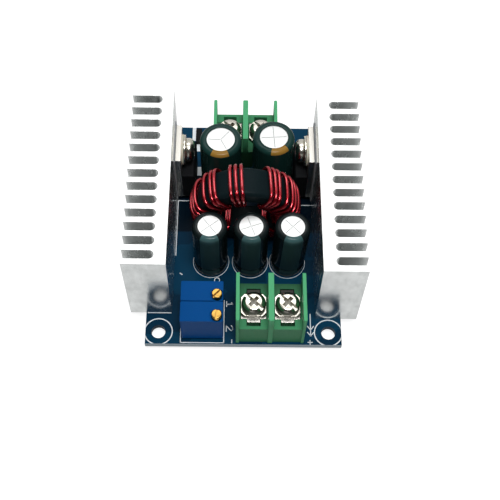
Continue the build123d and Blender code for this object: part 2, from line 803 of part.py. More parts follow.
with BuildPart() as control_chip:
    with BuildSketch(Plane.XY.offset(-chip_foot_height - chip_height)):
        with Locations((chip_x, chip_y)):
            Rectangle(chip_length, chip_width)
    extrude(amount=chip_height)
    chamfer(control_chip.edges().group_by(Axis.Z)[0], chip_edge)
save(control_chip, "control_chip")

chip_lead_z = -chip_foot_height - chip_height / 2
with BuildPart() as control_chip_leads:
    for side in (-1, 1):
        edge_y = chip_y + side * chip_width / 2
        for i in range(chip_leads_per_side):
            lead_x = chip_x + (i - (chip_leads_per_side - 1) / 2) * chip_lead_pitch
            corner = (lead_x - chip_lead_width / 2, edge_y, 0)
            with BuildSketch(Plane(origin=corner, x_dir=(0, side, 0), z_dir=(side, 0, 0))):
                with BuildLine():
                    Polyline(
                        (0, chip_lead_z),
                        (chip_lead_knee, chip_lead_z),
                        (chip_lead_knee, -chip_lead_thickness),
                        (chip_lead_reach, -chip_lead_thickness),
                        (chip_lead_reach, 0),
                        (chip_lead_knee - chip_lead_thickness, 0),
                        (chip_lead_knee - chip_lead_thickness, chip_lead_z + chip_lead_thickness),
                        (0, chip_lead_z + chip_lead_thickness),
                        close=True,
                    )
                make_face()
            extrude(amount=side * chip_lead_width)
save(control_chip_leads, "control_chip_leads")

with BuildPart() as shunt_resistors:
    with BuildSketch(Plane.XY.offset(-shunt_height)):
        with Locations((shunt_x, shunt_y)):
            with GridLocations(0, shunt_pitch, 1, shunt_count):
                Rectangle(shunt_length, shunt_width)
    extrude(amount=shunt_height)
save(shunt_resistors, "shunt_resistors")

with BuildPart() as chip_resistors:
    with BuildSketch(Plane.XY.offset(-chip_resistor_height)):
        with Locations((chip_resistor_x, chip_resistor_y)):
            with GridLocations(chip_resistor_pitch, 0, chip_resistor_columns, 1):
                Rectangle(chip_resistor_width, chip_resistor_length)
    extrude(amount=chip_resistor_height)
save(chip_resistors, "chip_resistors")

# Circuit board, drilled for the mounting screws and for every lead and pin
with BuildPart() as circuit_board:
    with BuildSketch():
        Rectangle(board_width, board_length)
        with GridLocations(mounting_spacing_x, mounting_spacing_y, 2, 2):
            Circle(mounting_hole_diameter / 2, mode=Mode.SUBTRACT)
        with Locations(*sink_pins):
            RegularPolygon(sink_pin_diameter / 2 + lead_hole_clearance, pin_sides, mode=Mode.SUBTRACT)
        for x, y, radius in soldered_leads:
            with Locations((x, y)):
                RegularPolygon(radius, lead_hole_sides, major_radius=False, mode=Mode.SUBTRACT)
        with Locations(*coil_slot_places):
            Rectangle(coil_lead_slot_length, coil_lead_slot_width, mode=Mode.SUBTRACT)
    extrude(amount=board_thickness)
save(circuit_board, "circuit_board")

# Solder: a cone under the board at each lead, over the lead's clipped end
with BuildPart() as solder_joints:
    for x, y, radius in soldered_leads:
        with BuildSketch(Plane((x, y, -solder_height))):
            RegularPolygon(radius + solder_margin, lead_hole_sides)
        extrude(amount=solder_height)
    with BuildSketch(Plane.XY.offset(-solder_height)):
        with Locations(*coil_slot_places):
            Rectangle(coil_lead_slot_length + 2 * solder_margin, coil_lead_slot_width + 2 * solder_margin)
    extrude(amount=solder_height)
    chamfer(solder_joints.edges().group_by(Axis.Z)[0], solder_edge)
save(solder_joints, "solder_joints")
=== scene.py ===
import random
from math import cos, pi, radians, sin, tan

import bmesh
import bpy
from bpy.props import FloatProperty, FloatVectorProperty, IntProperty, PointerProperty
from mathutils import Matrix, Vector


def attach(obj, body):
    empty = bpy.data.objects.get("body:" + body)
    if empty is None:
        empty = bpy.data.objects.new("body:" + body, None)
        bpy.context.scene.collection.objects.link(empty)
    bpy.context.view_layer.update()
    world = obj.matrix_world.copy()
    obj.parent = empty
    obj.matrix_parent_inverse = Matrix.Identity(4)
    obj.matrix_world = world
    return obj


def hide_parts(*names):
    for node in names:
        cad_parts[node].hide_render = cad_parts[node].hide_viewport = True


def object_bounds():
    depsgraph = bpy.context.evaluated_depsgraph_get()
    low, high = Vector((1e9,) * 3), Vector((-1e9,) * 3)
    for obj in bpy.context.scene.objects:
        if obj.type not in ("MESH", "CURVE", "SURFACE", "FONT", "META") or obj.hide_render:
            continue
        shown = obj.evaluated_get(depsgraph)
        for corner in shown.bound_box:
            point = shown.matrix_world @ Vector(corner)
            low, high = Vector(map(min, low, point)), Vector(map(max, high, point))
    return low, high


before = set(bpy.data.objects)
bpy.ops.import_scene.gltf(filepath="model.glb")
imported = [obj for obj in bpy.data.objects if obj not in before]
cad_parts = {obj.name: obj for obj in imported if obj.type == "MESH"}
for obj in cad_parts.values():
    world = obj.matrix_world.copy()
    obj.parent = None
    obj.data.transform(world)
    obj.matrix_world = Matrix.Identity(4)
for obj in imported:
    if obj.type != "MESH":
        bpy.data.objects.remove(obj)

bl_info = {
    "name": "Converter module dressing",
    "version": (1, 0, 0),
    "blender": (4, 5, 0),
    "location": "View3D > Sidebar > Converter",
    "description": "Builds the visible pieces and materials of a finned converter module",
    "category": "Object",
}

CAD_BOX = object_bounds()
MILLIMETRE = 0.001
# Points nearer than this count as one, in metres
MERGE_DISTANCE = 2e-6
# In degrees: what counts as flat, which creases are rounded, and which stay sharp to the eye
FLAT_ANGLE = 1.0
CREASE_ANGLE = 35.0
SMOOTH_ANGLE = 40.0
# Faces whose normal rises more than this lie level
LEVEL_FACE = 0.9

# Where the parts stand, in millimetres in the model's frame
BOARD_TOP = 1.6
BOARD_HALF = (22.5, 30.0)
MOUNTING_HOLES = [(x, y) for x in (-19.5, 19.5) for y in (-27.0, 27.0)]
POLES = {
    "output_left": (2.2, -23.7),
    "output_right": (9.8, -23.7),
    "input_left": (-3.65, 23.35),
    "input_right": (3.95, 23.35),
}
CLAMP_TOP = 9.6
# The terminals' fences, as offset and thickness, and the ribs by which they stand out in front
FENCES = [(-7.375, 0.8), (0, 1.25), (7.375, 0.8)]
FENCE_TOP = 14.6
RIB_DEPTH = 0.35
RIB_GAP = 0.04
TERMINAL_FRONT = {"output": 29.3, "input": 28.95}
TRANSISTOR_SCREW = (13.95, 13.4, 16.1)
# The trimmers' screws, each with the turn of its slot in degrees
TRIMMER_SCREWS = {"front_trimmer": (-6.0, -27.355, 82.0), "rear_trimmer": (-6.0, -22.355, 45.0)}
TRIMMER_TOP = 11.8
COIL_CENTRE = (0.2, -0.0946, 13.9)
COIL_LEAN = 3.0
# Where each strand crosses the ring's rim, in degrees from the top
STRAND_ANGLES = [
    *(-144, -139, -134, -109, -101, -92, -84, -76, -67, -51, -41.5, -36),
    *(-17.2, -10.9, -4.6),
    *(27.5, 33.5, 39, 50, 60, 68, 77, 87, 96, 128, 133, 138),
]
# How far the strands lean across the ring's rim, and by how much that varies, in degrees
STRAND_LEAN = 4
STRAND_SWAY = 1.2
# The coil's leads: distance of their middle from the coil's, and the points of one, as the step
# towards the middle, the place along the board and the height
LEAD_SPREAD = 8.7
LEAD_ROUTE = [(0, 4.115, 0.05), (0, 4.115, 2.0), (0, 4.115, 4.5), (0.3, 3.9, 6.6)]
# The capacitors. Lean, the stripe's middle and half its spread, the score lines in the top and the
# turn of the first are in degrees. The factor given last paints the stripe paler on the shoulder,
# a painted highlight, and below the height where the stripe ends it is left out as painted shade.
CROSS = (0, 90, 180, 270)
STAR = (0, 128, 247)
PLAIN_CAN = {"lean": (0, 0), "stripe": 0, "score": CROSS}
OUTPUT_CAN = {**PLAIN_CAN, "radius": 4.0, "height": 17.8, "half": 33, "stripe_end": 0.0, "shoulder_highlight": 2.4}
INPUT_CAN = {**PLAIN_CAN, "radius": 4.85, "height": 20.8, "half": 27, "stripe_end": 20.15, "shoulder_highlight": 1.0}
CAPACITORS = {
    "output_left": {**OUTPUT_CAN, "foot": (-7.8, -8.923), "score_turn": 38},
    "output_middle": {**OUTPUT_CAN, "foot": (1.5, -8.923), "score_turn": 20},
    "output_right": {**OUTPUT_CAN, "foot": (10.3, -8.923), "score_turn": 45, "lean": (1.6, 0), "stripe": 2},
    "input_left": {**INPUT_CAN, "foot": (-5.65, 12.25), "score_turn": 50, "score": STAR, "stripe": -2},
    "input_right": {**INPUT_CAN, "foot": (6.65, 12.25), "score_turn": 4, "lean": (0, 2.0), "stripe": 18},
}

# Print on the board: routes of straight lines with their width, read with the input side on top
PRINT_LINES = [
    ([(-3.95, -19.4), (-3.95, -20.6)], 0.2),
    ([(-3.95, -20.0), (-2.5, -20.0), (-2.8, -19.6)], 0.2),
    ([(-3.95, -26.8), (-3.95, -25.4), (-2.8, -26.7), (-2.5, -26.3), (-2.5, -25.8), (-2.8, -25.4)], 0.2),
    ([(-2.66, -28.9), (-2.66, -29.6)], 0.22),
    ([(15.25, -28.9), (15.25, -29.8)], 0.22),
    ([(14.8, -29.35), (15.7, -29.35)], 0.22),
    ([(15.45, -22.4), (15.45, -27.8)], 0.22),
    ([(14.75, -26.9), (15.45, -27.8), (16.15, -26.9)], 0.22),
    ([(14.75, -25.4), (15.45, -26.3), (16.15, -25.4)], 0.22),
    ([(-15.1, -12.1), (-14.6, -12.4)], 0.2),
]
# Bars, by two corners
PRINT_BARS = [
    ((-22.2, -22.4), (-16.7, -22.2)),
    ((-17.9, 7.8), (-13.4, 8.0)),
    ((14.1, 6.8), (16.4, 7.0)),
    ((-16.4, -7.4), (-16.2, 7.8)),
    ((-4.6, -29.75), (-4.4, -19.0)),
    ((-14.5, -29.75), (-4.4, -29.55)),
    ((-14.5, -29.75), (-14.3, -19.0)),
    ((-13.38, 25.8), (-12.46, 29.95)),
    ((-12.43, 22.57), (-10.83, 24.85)),
    ((-12.1, 15.31), (-10.13, 17.85)),
    ((10.66, 16.05), (11.99, 17.98)),
    ((16.14, 17.76), (17.14, 18.29)),
]
# Rings, by place, radius and width
PRINT_RINGS = [
    *[(x, y, 3.18, 0.26) for x, y in MOUNTING_HOLES],
    *[(*can["foot"], can["radius"] + 0.25, 0.11) for can in CAPACITORS.values()],
    (-6.3, -13.8, 0.6, 0.18),
]
# How far the rings stay inside the board's edge
PRINT_INSET = 0.08

# The stage: half the floor's side in metres, and the lamps, with place in metres, watts and size
FLOOR_HALF = 3.0
LAMPS = [
    ("Overhead softbox", (0.03, -0.09, 0.50), 1.5, (0.17, 0.17)),
    ("Front fill", (-0.10, -0.55, 0.11), 0.12, (0.3, 0.3)),
    ("Back strip", (-0.04, 0.26, 0.52), 0.72, (0.5, 0.16)),
]
LAMP_AIM = (0, 0, 0.01)
# The camera: place and lens in millimetres, turn in degrees
CAMERA_PLACE = (-1.660, -109.160, 199.774)
CAMERA_AZIMUTH = -0.990
CAMERA_ELEVATION = 60.885
CAMERA_ROLL = 1.420
CAMERA_LENS = 66.83
CAMERA_SHIFT = (0.01, -0.05)


def linear(code):
    """An sRGB hex colour as the linear red, green, blue and alpha that shaders take."""
    channels = [int(code[i : i + 2], 16) / 255 for i in (1, 3, 5)]
    return (*[c / 12.92 if c <= 0.04045 else ((c + 0.055) / 1.055) ** 2.4 for c in channels], 1.0)


def colour_setting(name, description, code):
    """A colour in the panel, with its default written in sRGB hex."""
    plain = {"name": name, "description": description, "subtype": "COLOR", "default": linear(code)}
    return FloatVectorProperty(**plain, size=4, min=0.0, max=1.0)


def length_setting(name, description, size):
    """A length in the panel, with its default written in millimetres."""
    plain = {"name": name, "description": description, "default": size * MILLIMETRE}
    return FloatProperty(**plain, unit="LENGTH", subtype="DISTANCE", min=0.0)


class ConverterSizes(bpy.types.PropertyGroup):
    """Sizes of the finish that the solids underneath leave out."""

    moulded_edge: length_setting("Moulded edge", "Rounding of the moulded housings' edges", 0.18)
    extruded_edge: length_setting("Extruded edge", "Rounding of the heatsinks' edges", 0.12)
    stamped_edge: length_setting("Stamped edge", "Rounding of stamped plates and strips", 0.1)
    print_height: length_setting("Print height", "Thickness of the print on the board", 0.03)
    wire_radius: length_setting("Wire radius", "Half the thickness of the coil's enamelled wire", 0.44)
    strand_pitch: length_setting("Strand pitch", "Distance between the strands of one turn", 0.95)
    thread_pitch: length_setting("Thread pitch", "Rise of the screws' threads in one turn", 0.5)
    steps: IntProperty(
        name="Round steps", description="Facets round a turned piece", min=24, max=128, default=64
    )


class ConverterColours(bpy.types.PropertyGroup):
    """Colours of the module's finishes."""

    mask_light: colour_setting("Mask over copper", "Solder mask where copper lies under it", "#06425f")
    mask_dark: colour_setting("Mask over laminate", "Solder mask between the copper", "#042d45")
    laminate: colour_setting("Laminate edge", "Cut edge of the glass-fibre board", "#b3c0c8")
    ink: colour_setting("Board print", "Printed ink on the board", "#eef4f8")
    aluminium: colour_setting("Extruded aluminium", "Sides of the heatsinks", "#e2e5e4")
    cut_aluminium: colour_setting("Sawn aluminium", "Sawn ends of the heatsinks", "#e4e6e5")
    tin: colour_setting("Tin plating", "Tinned strips, tabs and leads", "#c4c1ba")
    steel: colour_setting("Plated steel", "Screws, washers and clamp plates", "#d6d2c6")
    terminal: colour_setting("Terminal plastic", "Moulded green of the terminals", "#58b47e")
    trimmer: colour_setting("Trimmer plastic", "Moulded blue of the trimmers", "#034a8c")
    brass: colour_setting("Brass", "Adjusting screws of the trimmers", "#b08a45")
    core: colour_setting("Core coating", "Epoxy powder coat of the ring core", "#101c1f")
    enamel: colour_setting("Wire enamel", "Enamel of the coil's wire", "#ab0e22")
    can: colour_setting("Can metal", "Drawn aluminium of the capacitors' tops", "#dcdedd")
    # Painted shade: the colour of the score lines stands for the shade in their grooves
    score: colour_setting("Scored metal", "Painted shade in the score lines of the capacitors' tops", "#868989")
    sleeve_black: colour_setting("Black sleeve", "Shrunk sleeves of the output capacitors", "#10191a")
    stripe_grey: colour_setting("Grey stripe", "Polarity stripe of the output capacitors", "#2b4344")
    sleeve_green: colour_setting("Green sleeve", "Shrunk sleeves of the input capacitors", "#173632")
    stripe_gold: colour_setting("Gold stripe", "Polarity stripe of the input capacitors", "#96702f")
    epoxy: colour_setting("Moulding compound", "Bodies of transistors, chips and diode", "#1b1c1e")
    rubber: colour_setting("Rubber", "Bungs under the capacitors", "#202022")
    pad: colour_setting("Insulating pad", "Silicone pads behind the transistors", "#a9adb0")
    bush: colour_setting("Insulating bush", "Shouldered bushes of the transistor screws", "#d9d4c2")
    solder: colour_setting("Solder", "Solder joints under the board", "#c9cacc")
    floor: colour_setting("Floor", "Plain floor under the module", "#a0a0a0")


def sizes():
    """The sizes as they stand in the panel."""
    return bpy.context.scene.converter_sizes


def colours():
    """The colours as they stand in the panel."""
    return bpy.context.scene.converter_colours


# Materials
def new_material(name):
    """An empty node material."""
    material = bpy.data.materials.new(name)
    material.use_nodes = True
    material.node_tree.nodes.clear()
    return material


def add_node(owner, kind, inputs=None, **settings):
    """Adds a node with its settings, and fills or links its sockets, found by their order or name.
    A node among the inputs is linked by its first output."""
    node = owner.node_tree.nodes.new(kind)
    for key, value in settings.items():
        setattr(node, key, value)
    sockets = [socket for socket in node.inputs if socket.enabled]
    names = [socket.name for socket in sockets]
    for key, value in (inputs or {}).items():
        socket = sockets[key if isinstance(key, int) else names.index(key)]
        if isinstance(value, bpy.types.Node):
            value = next(output for output in value.outputs if output.enabled)
        if isinstance(value, bpy.types.NodeSocket):
            owner.node_tree.links.new(value, socket)
        else:
            socket.default_value = value
    return node


def finish(material, inputs):
    """Ends a material in its Principled shader."""
    shader = add_node(material, "ShaderNodeBsdfPrincipled", inputs)
    add_node(material, "ShaderNodeOutputMaterial", {"Surface": shader})
    return material


def grain(material, size, depth, stretch=(1, 1, 1), detail=3.0):
    """Grain of a size and depth in millimetres on the piece's own place: its height and its normal."""
    where = add_node(material, "ShaderNodeTexCoord").outputs["Object"]
    scale = [1 / (size * along * MILLIMETRE) for along in stretch]
    placed = add_node(material, "ShaderNodeMapping", {"Vector": where, "Scale": scale})
    spots = {"Vector": placed, "Scale": 1.0, "Detail": detail, "Roughness": 0.55}
    height = add_node(material, "ShaderNodeTexNoise", spots)
    relief = {"Height": height, "Strength": 1.0, "Distance": depth * MILLIMETRE}
    return height, add_node(material, "ShaderNodeBump", relief)


def shade(colour, factor):
    """A colour made lighter or darker by a factor."""
    return (*[min(c * factor, 1.0) for c in colour[:3]], 1.0)


def point_on(material):
    """X, Y and Z of a point on the piece, in metres."""
    where = add_node(material, "ShaderNodeTexCoord").outputs["Object"]
    return add_node(material, "ShaderNodeSeparateXYZ", {"Vector": where}).outputs


def beyond(material, coordinate, start, end, centre=0.0, low=0.0, high=1.0):
    """Runs from low to high between two distances from a centre line, in millimetres."""
    from_centre = {0: coordinate, 1: centre * MILLIMETRE}
    offset = add_node(material, "ShaderNodeMath", from_centre, operation="SUBTRACT")
    away = add_node(material, "ShaderNodeMath", {0: offset}, operation="ABSOLUTE")
    reach = {"Value": away, "From Min": start * MILLIMETRE, "From Max": end * MILLIMETRE}
    return add_node(material, "ShaderNodeMapRange", {**reach, "To Min": low, "To Max": high})


def facing(material, axis):
    """How squarely a face looks along an axis: 1 head on and 0 edge on."""
    normal = add_node(material, "ShaderNodeNewGeometry").outputs["Normal"]
    parts = add_node(material, "ShaderNodeSeparateXYZ", {"Vector": normal})
    return add_node(material, "ShaderNodeMath", {0: parts.outputs[axis]}, operation="ABSOLUTE")


def facing_up(material):
    """1 on faces that lie level and 0 on upright ones."""
    test = {0: facing(material, "Z"), 1: LEVEL_FACE}
    return add_node(material, "ShaderNodeMath", test, operation="GREATER_THAN")


def moulded_plastic(name, colour, roughness=0.38, size=0.12, depth=0.004, scatter=0.0):
    """Injection-moulded plastic: a spark-eroded grain, drawn coarser than the real one so that it
    shows, which softens its highlights."""
    material = new_material(name)
    height, normal = grain(material, size, depth)
    tints = {"Factor": height, "A": shade(colour, 0.93), "B": shade(colour, 1.06)}
    rough = {"Value": height, "To Min": roughness - 0.05, "To Max": roughness + 0.06}
    return finish(
        material,
        {
            "Base Color": add_node(material, "ShaderNodeMix", tints, data_type="RGBA"),
            "Roughness": add_node(material, "ShaderNodeMapRange", rough),
            "IOR": 1.52,
            "Specular IOR Level": 0.03,
            "Subsurface Weight": scatter,
            "Subsurface Scale": 0.4 * MILLIMETRE,
            "Normal": normal,
        },
    )


def plated_metal(name, colour, roughness=0.25, size=0.25, depth=0.003):
    """Plated sheet or turned metal: drawing marks, coarser than the real ones so that they show,
    which break up its reflections."""
    material = new_material(name)
    height, normal = grain(material, size, depth)
    tints = {"Factor": height, "A": shade(colour, 0.86), "B": shade(colour, 1.05)}
    rough = {"Value": height, "To Min": roughness - 0.06, "To Max": roughness + 0.1}
    return finish(
        material,
        {
            "Base Color": add_node(material, "ShaderNodeMix", tints, data_type="RGBA"),
            "Metallic": 1.0,
            "Roughness": add_node(material, "ShaderNodeMapRange", rough),
            "Normal": normal,
        },
    )


def contact_strip():
    """Tinned brass strip of a terminal: bright at the lip where the wire goes in, and painted dark as
    shade at the end behind the screw and below the lip's bend."""
    material = new_material("Tinned brass, tarnished behind the screw")
    height, normal = grain(material, 0.25, 0.003)
    place = point_on(material)
    dark_end, bright_end = 20.6, 21.2
    bend_foot, bend_top = 7.9, 8.5
    # Painted shade: the strip darkens behind the screw and below the lip's bend
    clear_of_screw_shade = beyond(material, place["Y"], dark_end, bright_end)
    bend = beyond(material, place["Z"], bend_foot, bend_top, low=0.3)
    bright = add_node(material, "ShaderNodeMath", {0: clear_of_screw_shade, 1: bend}, operation="MINIMUM")
    tints = {"Factor": bright, "A": shade(colours().tin, 0.04), "B": colours().tin}
    rough = {"Value": height, "To Min": 0.2, "To Max": 0.35}
    return finish(
        material,
        {
            "Base Color": add_node(material, "ShaderNodeMix", tints, data_type="RGBA"),
            "Metallic": 1.0,
            "Roughness": add_node(material, "ShaderNodeMapRange", rough),
            "Normal": normal,
        },
    )


def terminal_plastic():
    """Green moulded polyamide with painted shade: darker lower down and towards the side that faces the
    middle of the board, and paler towards the fences' crests and, in part, on their ribs."""
    material = new_material("Green moulded polyamide")
    height, normal = grain(material, 0.12, 0.005)
    place = point_on(material)
    crest_foot, crest_top = 8.2, 14.0
    rib_back, rib_front = 29.2, 29.5
    inner_side, well_side = 18.1, 24.0
    # Painted shade: the body darkens lower down and towards the middle of the board; the crests and, in
    # part, the ribs' fronts keep the full green
    crest = beyond(material, place["Z"], crest_foot, crest_top)
    middle = (TERMINAL_FRONT["input"] - TERMINAL_FRONT["output"]) / 2
    rib = beyond(material, place["Y"], rib_back, rib_front, middle, high=0.55)
    out_of_painted_shade = add_node(material, "ShaderNodeMath", {0: crest, 1: rib}, operation="MAXIMUM")
    green = colours().terminal
    well = beyond(material, place["Y"], inner_side, well_side, middle)
    painted_depth_shades = {"Factor": well, "A": shade(green, 0.1), "B": shade(green, 0.5)}
    body = add_node(material, "ShaderNodeMix", painted_depth_shades, data_type="RGBA")
    crests = {"Factor": out_of_painted_shade, "A": body, "B": green}
    base = add_node(material, "ShaderNodeMix", crests, data_type="RGBA")
    cover = add_node(material, "ShaderNodeMapRange", {"Value": height, "To Min": 0.8})
    speckle = {"Factor": cover, "A": shade(green, 0.5), "B": base}
    rough = {"Value": height, "To Min": 0.38, "To Max": 0.48}
    return finish(
        material,
        {
            "Base Color": add_node(material, "ShaderNodeMix", speckle, data_type="RGBA"),
            "Roughness": add_node(material, "ShaderNodeMapRange", rough),
            "IOR": 1.53,
            "Specular IOR Level": 0.08,
            "Subsurface Weight": 0.1,
            "Subsurface Scale": 0.4 * MILLIMETRE,
            "Normal": normal,
        },
    )


def solder_mask_board():
    """Glass-fibre board under blue solder mask: copper pours show as lighter fields, a broad strip
    under the coil and behind it is painted dark as shade, and the sawn edge shows pale
    laminate."""
    material = new_material("Solder mask on glass-fibre laminate")
    height, normal = grain(material, 0.35, 0.003)
    pour_size = 5.5
    where = add_node(material, "ShaderNodeTexCoord").outputs["Object"]
    pours = {"Vector": where, "Scale": 1 / (pour_size * MILLIMETRE), "Randomness": 0.85}
    fields = add_node(material, "ShaderNodeTexVoronoi", pours, distance="CHEBYCHEV", feature="F1")
    parts = add_node(material, "ShaderNodeSeparateColor", {"Color": fields.outputs["Color"]})
    copper = add_node(material, "ShaderNodeMath", {0: parts, 1: 0.38}, operation="GREATER_THAN")
    cover = add_node(material, "ShaderNodeMath", {0: copper, 1: 0.5}, operation="MULTIPLY")
    dark = colours().mask_dark
    layers = {"Factor": cover, "A": dark, "B": colours().mask_light}
    coppered = add_node(material, "ShaderNodeMix", layers, data_type="RGBA")
    place = point_on(material)
    # Painted shade: a strip under the coil and behind it is darkened
    strip_middle, strip_half, fade = 8.0, 8.6, 0.4
    strip = beyond(material, place["Y"], strip_half, strip_half + fade, strip_middle)
    strips = {"Factor": strip, "A": shade(dark, 0.25), "B": coppered}
    mask = add_node(material, "ShaderNodeMix", strips, data_type="RGBA")
    # The walls of the holes stay dark, so only upright faces at the rim are pale
    rim_width, step = 0.2, 0.001
    rims = {}
    for order, (axis, half) in enumerate(zip("XY", BOARD_HALF)):
        rims[order] = beyond(material, place[axis], half - rim_width, half - rim_width + step)
    rim = add_node(material, "ShaderNodeMath", rims, operation="MAXIMUM")
    walls = {0: rim, 1: facing_up(material)}
    sawn = add_node(material, "ShaderNodeMath", walls, operation="SUBTRACT", use_clamp=True)
    tints = {"Factor": sawn, "A": mask, "B": colours().laminate}
    rough = {"Value": height, "To Min": 0.3, "To Max": 0.4}
    return finish(
        material,
        {
            "Base Color": add_node(material, "ShaderNodeMix", tints, data_type="RGBA"),
            "Roughness": add_node(material, "ShaderNodeMapRange", rough),
            "IOR": 1.55,
            "Specular IOR Level": 0.04,
            "Normal": normal,
        },
    )


def printed_ink():
    """Screen-printed epoxy ink: matt, with slightly uneven cover."""
    material = new_material("Screen-printed epoxy ink")
    height, normal = grain(material, 0.2, 0.004)
    tints = {"Factor": height, "A": shade(colours().ink, 0.9), "B": colours().ink}
    tint = add_node(material, "ShaderNodeMix", tints, data_type="RGBA")
    return finish(material, {"Base Color": tint, "Roughness": 0.55, "Normal": normal})


def extruded_aluminium():
    """Extruded aluminium: satin sides with fine die lines along the extrusion, a matt oxide on the
    fins' faces in the slots, a little of it on the two end faces, and brighter, rougher sawn ends
    with saw marks across them."""
    material = new_material("Extruded aluminium with sawn ends")
    ends = facing_up(material)
    last_slot, end_face = 21.2, 21.4
    outside = beyond(material, point_on(material)["Y"], last_slot, end_face)
    bare = add_node(material, "ShaderNodeMapRange", {"Value": outside, "To Min": 0.6, "To Max": 0.95})
    oxide = {"Value": facing(material, "Y"), "To Min": 1.0, "To Max": bare}
    die, die_normal = grain(material, 0.09, 0.004, (1, 1, 120), detail=2.0)
    saw, saw_normal = grain(material, 0.16, 0.006, (30, 1, 1), detail=2.0)
    cloud, _ = grain(material, 2.2, 0.001, (1, 1, 2.0), detail=6.0)
    patches = add_node(material, "ShaderNodeMapRange", {"Value": cloud, "From Min": 0.32, "From Max": 0.66})
    satin = colours().aluminium
    stains = {"Factor": patches, "A": shade(satin, 0.84), "B": shade(satin, 1.1)}
    stain = add_node(material, "ShaderNodeMix", stains, data_type="RGBA")
    streaks = {"Factor": die, "A": (0.92, 0.92, 0.92, 1), "B": (1, 1, 1, 1)}
    lines = add_node(material, "ShaderNodeMix", streaks, data_type="RGBA")
    drawn = {"Factor": 1.0, "A": stain, "B": lines}
    sides = add_node(material, "ShaderNodeMix", drawn, data_type="RGBA", blend_type="MULTIPLY")
    marks = {"Factor": saw, "A": shade(colours().cut_aluminium, 0.9), "B": colours().cut_aluminium}
    sawn = add_node(material, "ShaderNodeMix", marks, data_type="RGBA")
    gloss = {
        "Factor": outside,
        "A": add_node(material, "ShaderNodeMapRange", {"Value": cloud, "To Min": 0.16, "To Max": 0.36}),
        "B": add_node(material, "ShaderNodeMapRange", {"Value": cloud, "To Min": 0.13, "To Max": 0.24}),
    }
    rough = {
        "Factor": ends,
        "A": add_node(material, "ShaderNodeMix", gloss, data_type="FLOAT"),
        "B": add_node(material, "ShaderNodeMapRange", {"Value": saw, "To Min": 0.4, "To Max": 0.5}),
    }
    tints = {"Factor": ends, "A": sides, "B": sawn}
    normals = {"Factor": ends, "A": die_normal, "B": saw_normal}
    return finish(
        material,
        {
            "Base Color": add_node(material, "ShaderNodeMix", tints, data_type="RGBA"),
            "Metallic": add_node(material, "ShaderNodeMapRange", oxide),
            "Roughness": add_node(material, "ShaderNodeMix", rough, data_type="FLOAT"),
            "Normal": add_node(material, "ShaderNodeMix", normals, data_type="VECTOR"),
        },
    )


def coated_core():
    """Iron-powder ring under a sprayed epoxy coat: a soft sheen over a fine orange peel."""
    material = new_material("Epoxy powder coat on iron-powder core")
    height, normal = grain(material, 0.45, 0.02)
    tints = {"Factor": height, "A": shade(colours().core, 0.8), "B": shade(colours().core, 1.25)}
    return finish(
        material,
        {
            "Base Color": add_node(material, "ShaderNodeMix", tints, data_type="RGBA"),
            "Roughness": 0.36,
            "IOR": 1.55,
            "Specular IOR Level": 0.035,
            "Normal": normal,
        },
    )


def enamelled_wire():
    """Copper wire under red polyester enamel: metal colour under a clear, glossy coat."""
    material = new_material("Red enamelled copper wire")
    height, normal = grain(material, 1.6, 0.001)
    tints = {"Factor": height, "A": shade(colours().enamel, 0.8), "B": shade(colours().enamel, 1.15)}
    rough = {"Value": height, "To Min": 0.2, "To Max": 0.26}
    return finish(
        material,
        {
            "Base Color": add_node(material, "ShaderNodeMix", tints, data_type="RGBA"),
            "Metallic": 0.88,
            "Roughness": add_node(material, "ShaderNodeMapRange", rough),
            "Specular IOR Level": 0.1,
            "Coat Weight": 1.0,
            "Coat Roughness": 0.09,
            "Coat IOR": 1.55,
            "Normal": normal,
        },
    )


def shrunk_sleeve(name, spot, base, stripe):
    """Printed film shrunk over the can: glossy, drawn tight, with a polarity stripe on one side that is
    painted paler where it bends over the shoulder, a painted highlight. Below a given height the stripe
    is left out, as painted shade."""
    can = CAPACITORS[spot]
    material = new_material(name)
    height, normal = grain(material, 2.2, 0.012, (1, 1, 2.5))
    where = add_node(material, "ShaderNodeTexCoord").outputs["Object"]
    foot = {0: where, 1: can_place(spot).translation}
    centred = add_node(material, "ShaderNodeVectorMath", foot, operation="SUBTRACT")
    place = add_node(material, "ShaderNodeSeparateXYZ", {"Vector": centred}).outputs
    offsets = []
    for axis, angle in zip("XY", can["lean"]):
        upright = {0: place["Z"], 1: -tan(radians(angle)), 2: place[axis]}
        offsets.append(add_node(material, "ShaderNodeMath", upright, operation="MULTIPLY_ADD"))
    front = add_node(material, "ShaderNodeMath", {0: offsets[1], 1: -1.0}, operation="MULTIPLY")
    turn = add_node(material, "ShaderNodeMath", {0: offsets[0], 1: front}, operation="ARCTAN2")
    spread = {0: turn, 1: radians(can["stripe"]), 2: radians(can["half"])}
    inside = add_node(material, "ShaderNodeMath", spread, operation="COMPARE")
    # Painted shade: the stripe is left out below the height where it ends
    lower_end = {0: place["Z"], 1: can["stripe_end"] * MILLIMETRE}
    above = add_node(material, "ShaderNodeMath", lower_end, operation="GREATER_THAN")
    marked = add_node(material, "ShaderNodeMath", {0: inside, 1: above}, operation="MULTIPLY")
    film = {"Factor": height, "A": shade(base, 0.85), "B": shade(base, 1.2)}
    # Painted highlight: the stripe is made paler over the shoulder
    shoulder = beyond(material, place["Z"], can["height"] - 2.2, can["height"] - 0.5)
    bend = {"Factor": shoulder, "A": stripe, "B": shade(stripe, can["shoulder_highlight"])}
    highlit_stripe = add_node(material, "ShaderNodeMix", bend, data_type="RGBA")
    cover = {"Factor": height, "A": highlit_stripe, "B": stripe}
    tints = {
        "Factor": marked,
        "A": add_node(material, "ShaderNodeMix", film, data_type="RGBA"),
        "B": add_node(material, "ShaderNodeMix", cover, data_type="RGBA"),
    }
    rough = {"Value": height, "To Min": 0.16, "To Max": 0.26}
    return finish(
        material,
        {
            "Base Color": add_node(material, "ShaderNodeMix", tints, data_type="RGBA"),
            "Roughness": add_node(material, "ShaderNodeMapRange", rough),
            "IOR": 1.53,
            "Specular IOR Level": 0.14,
            "Normal": normal,
        },
    )


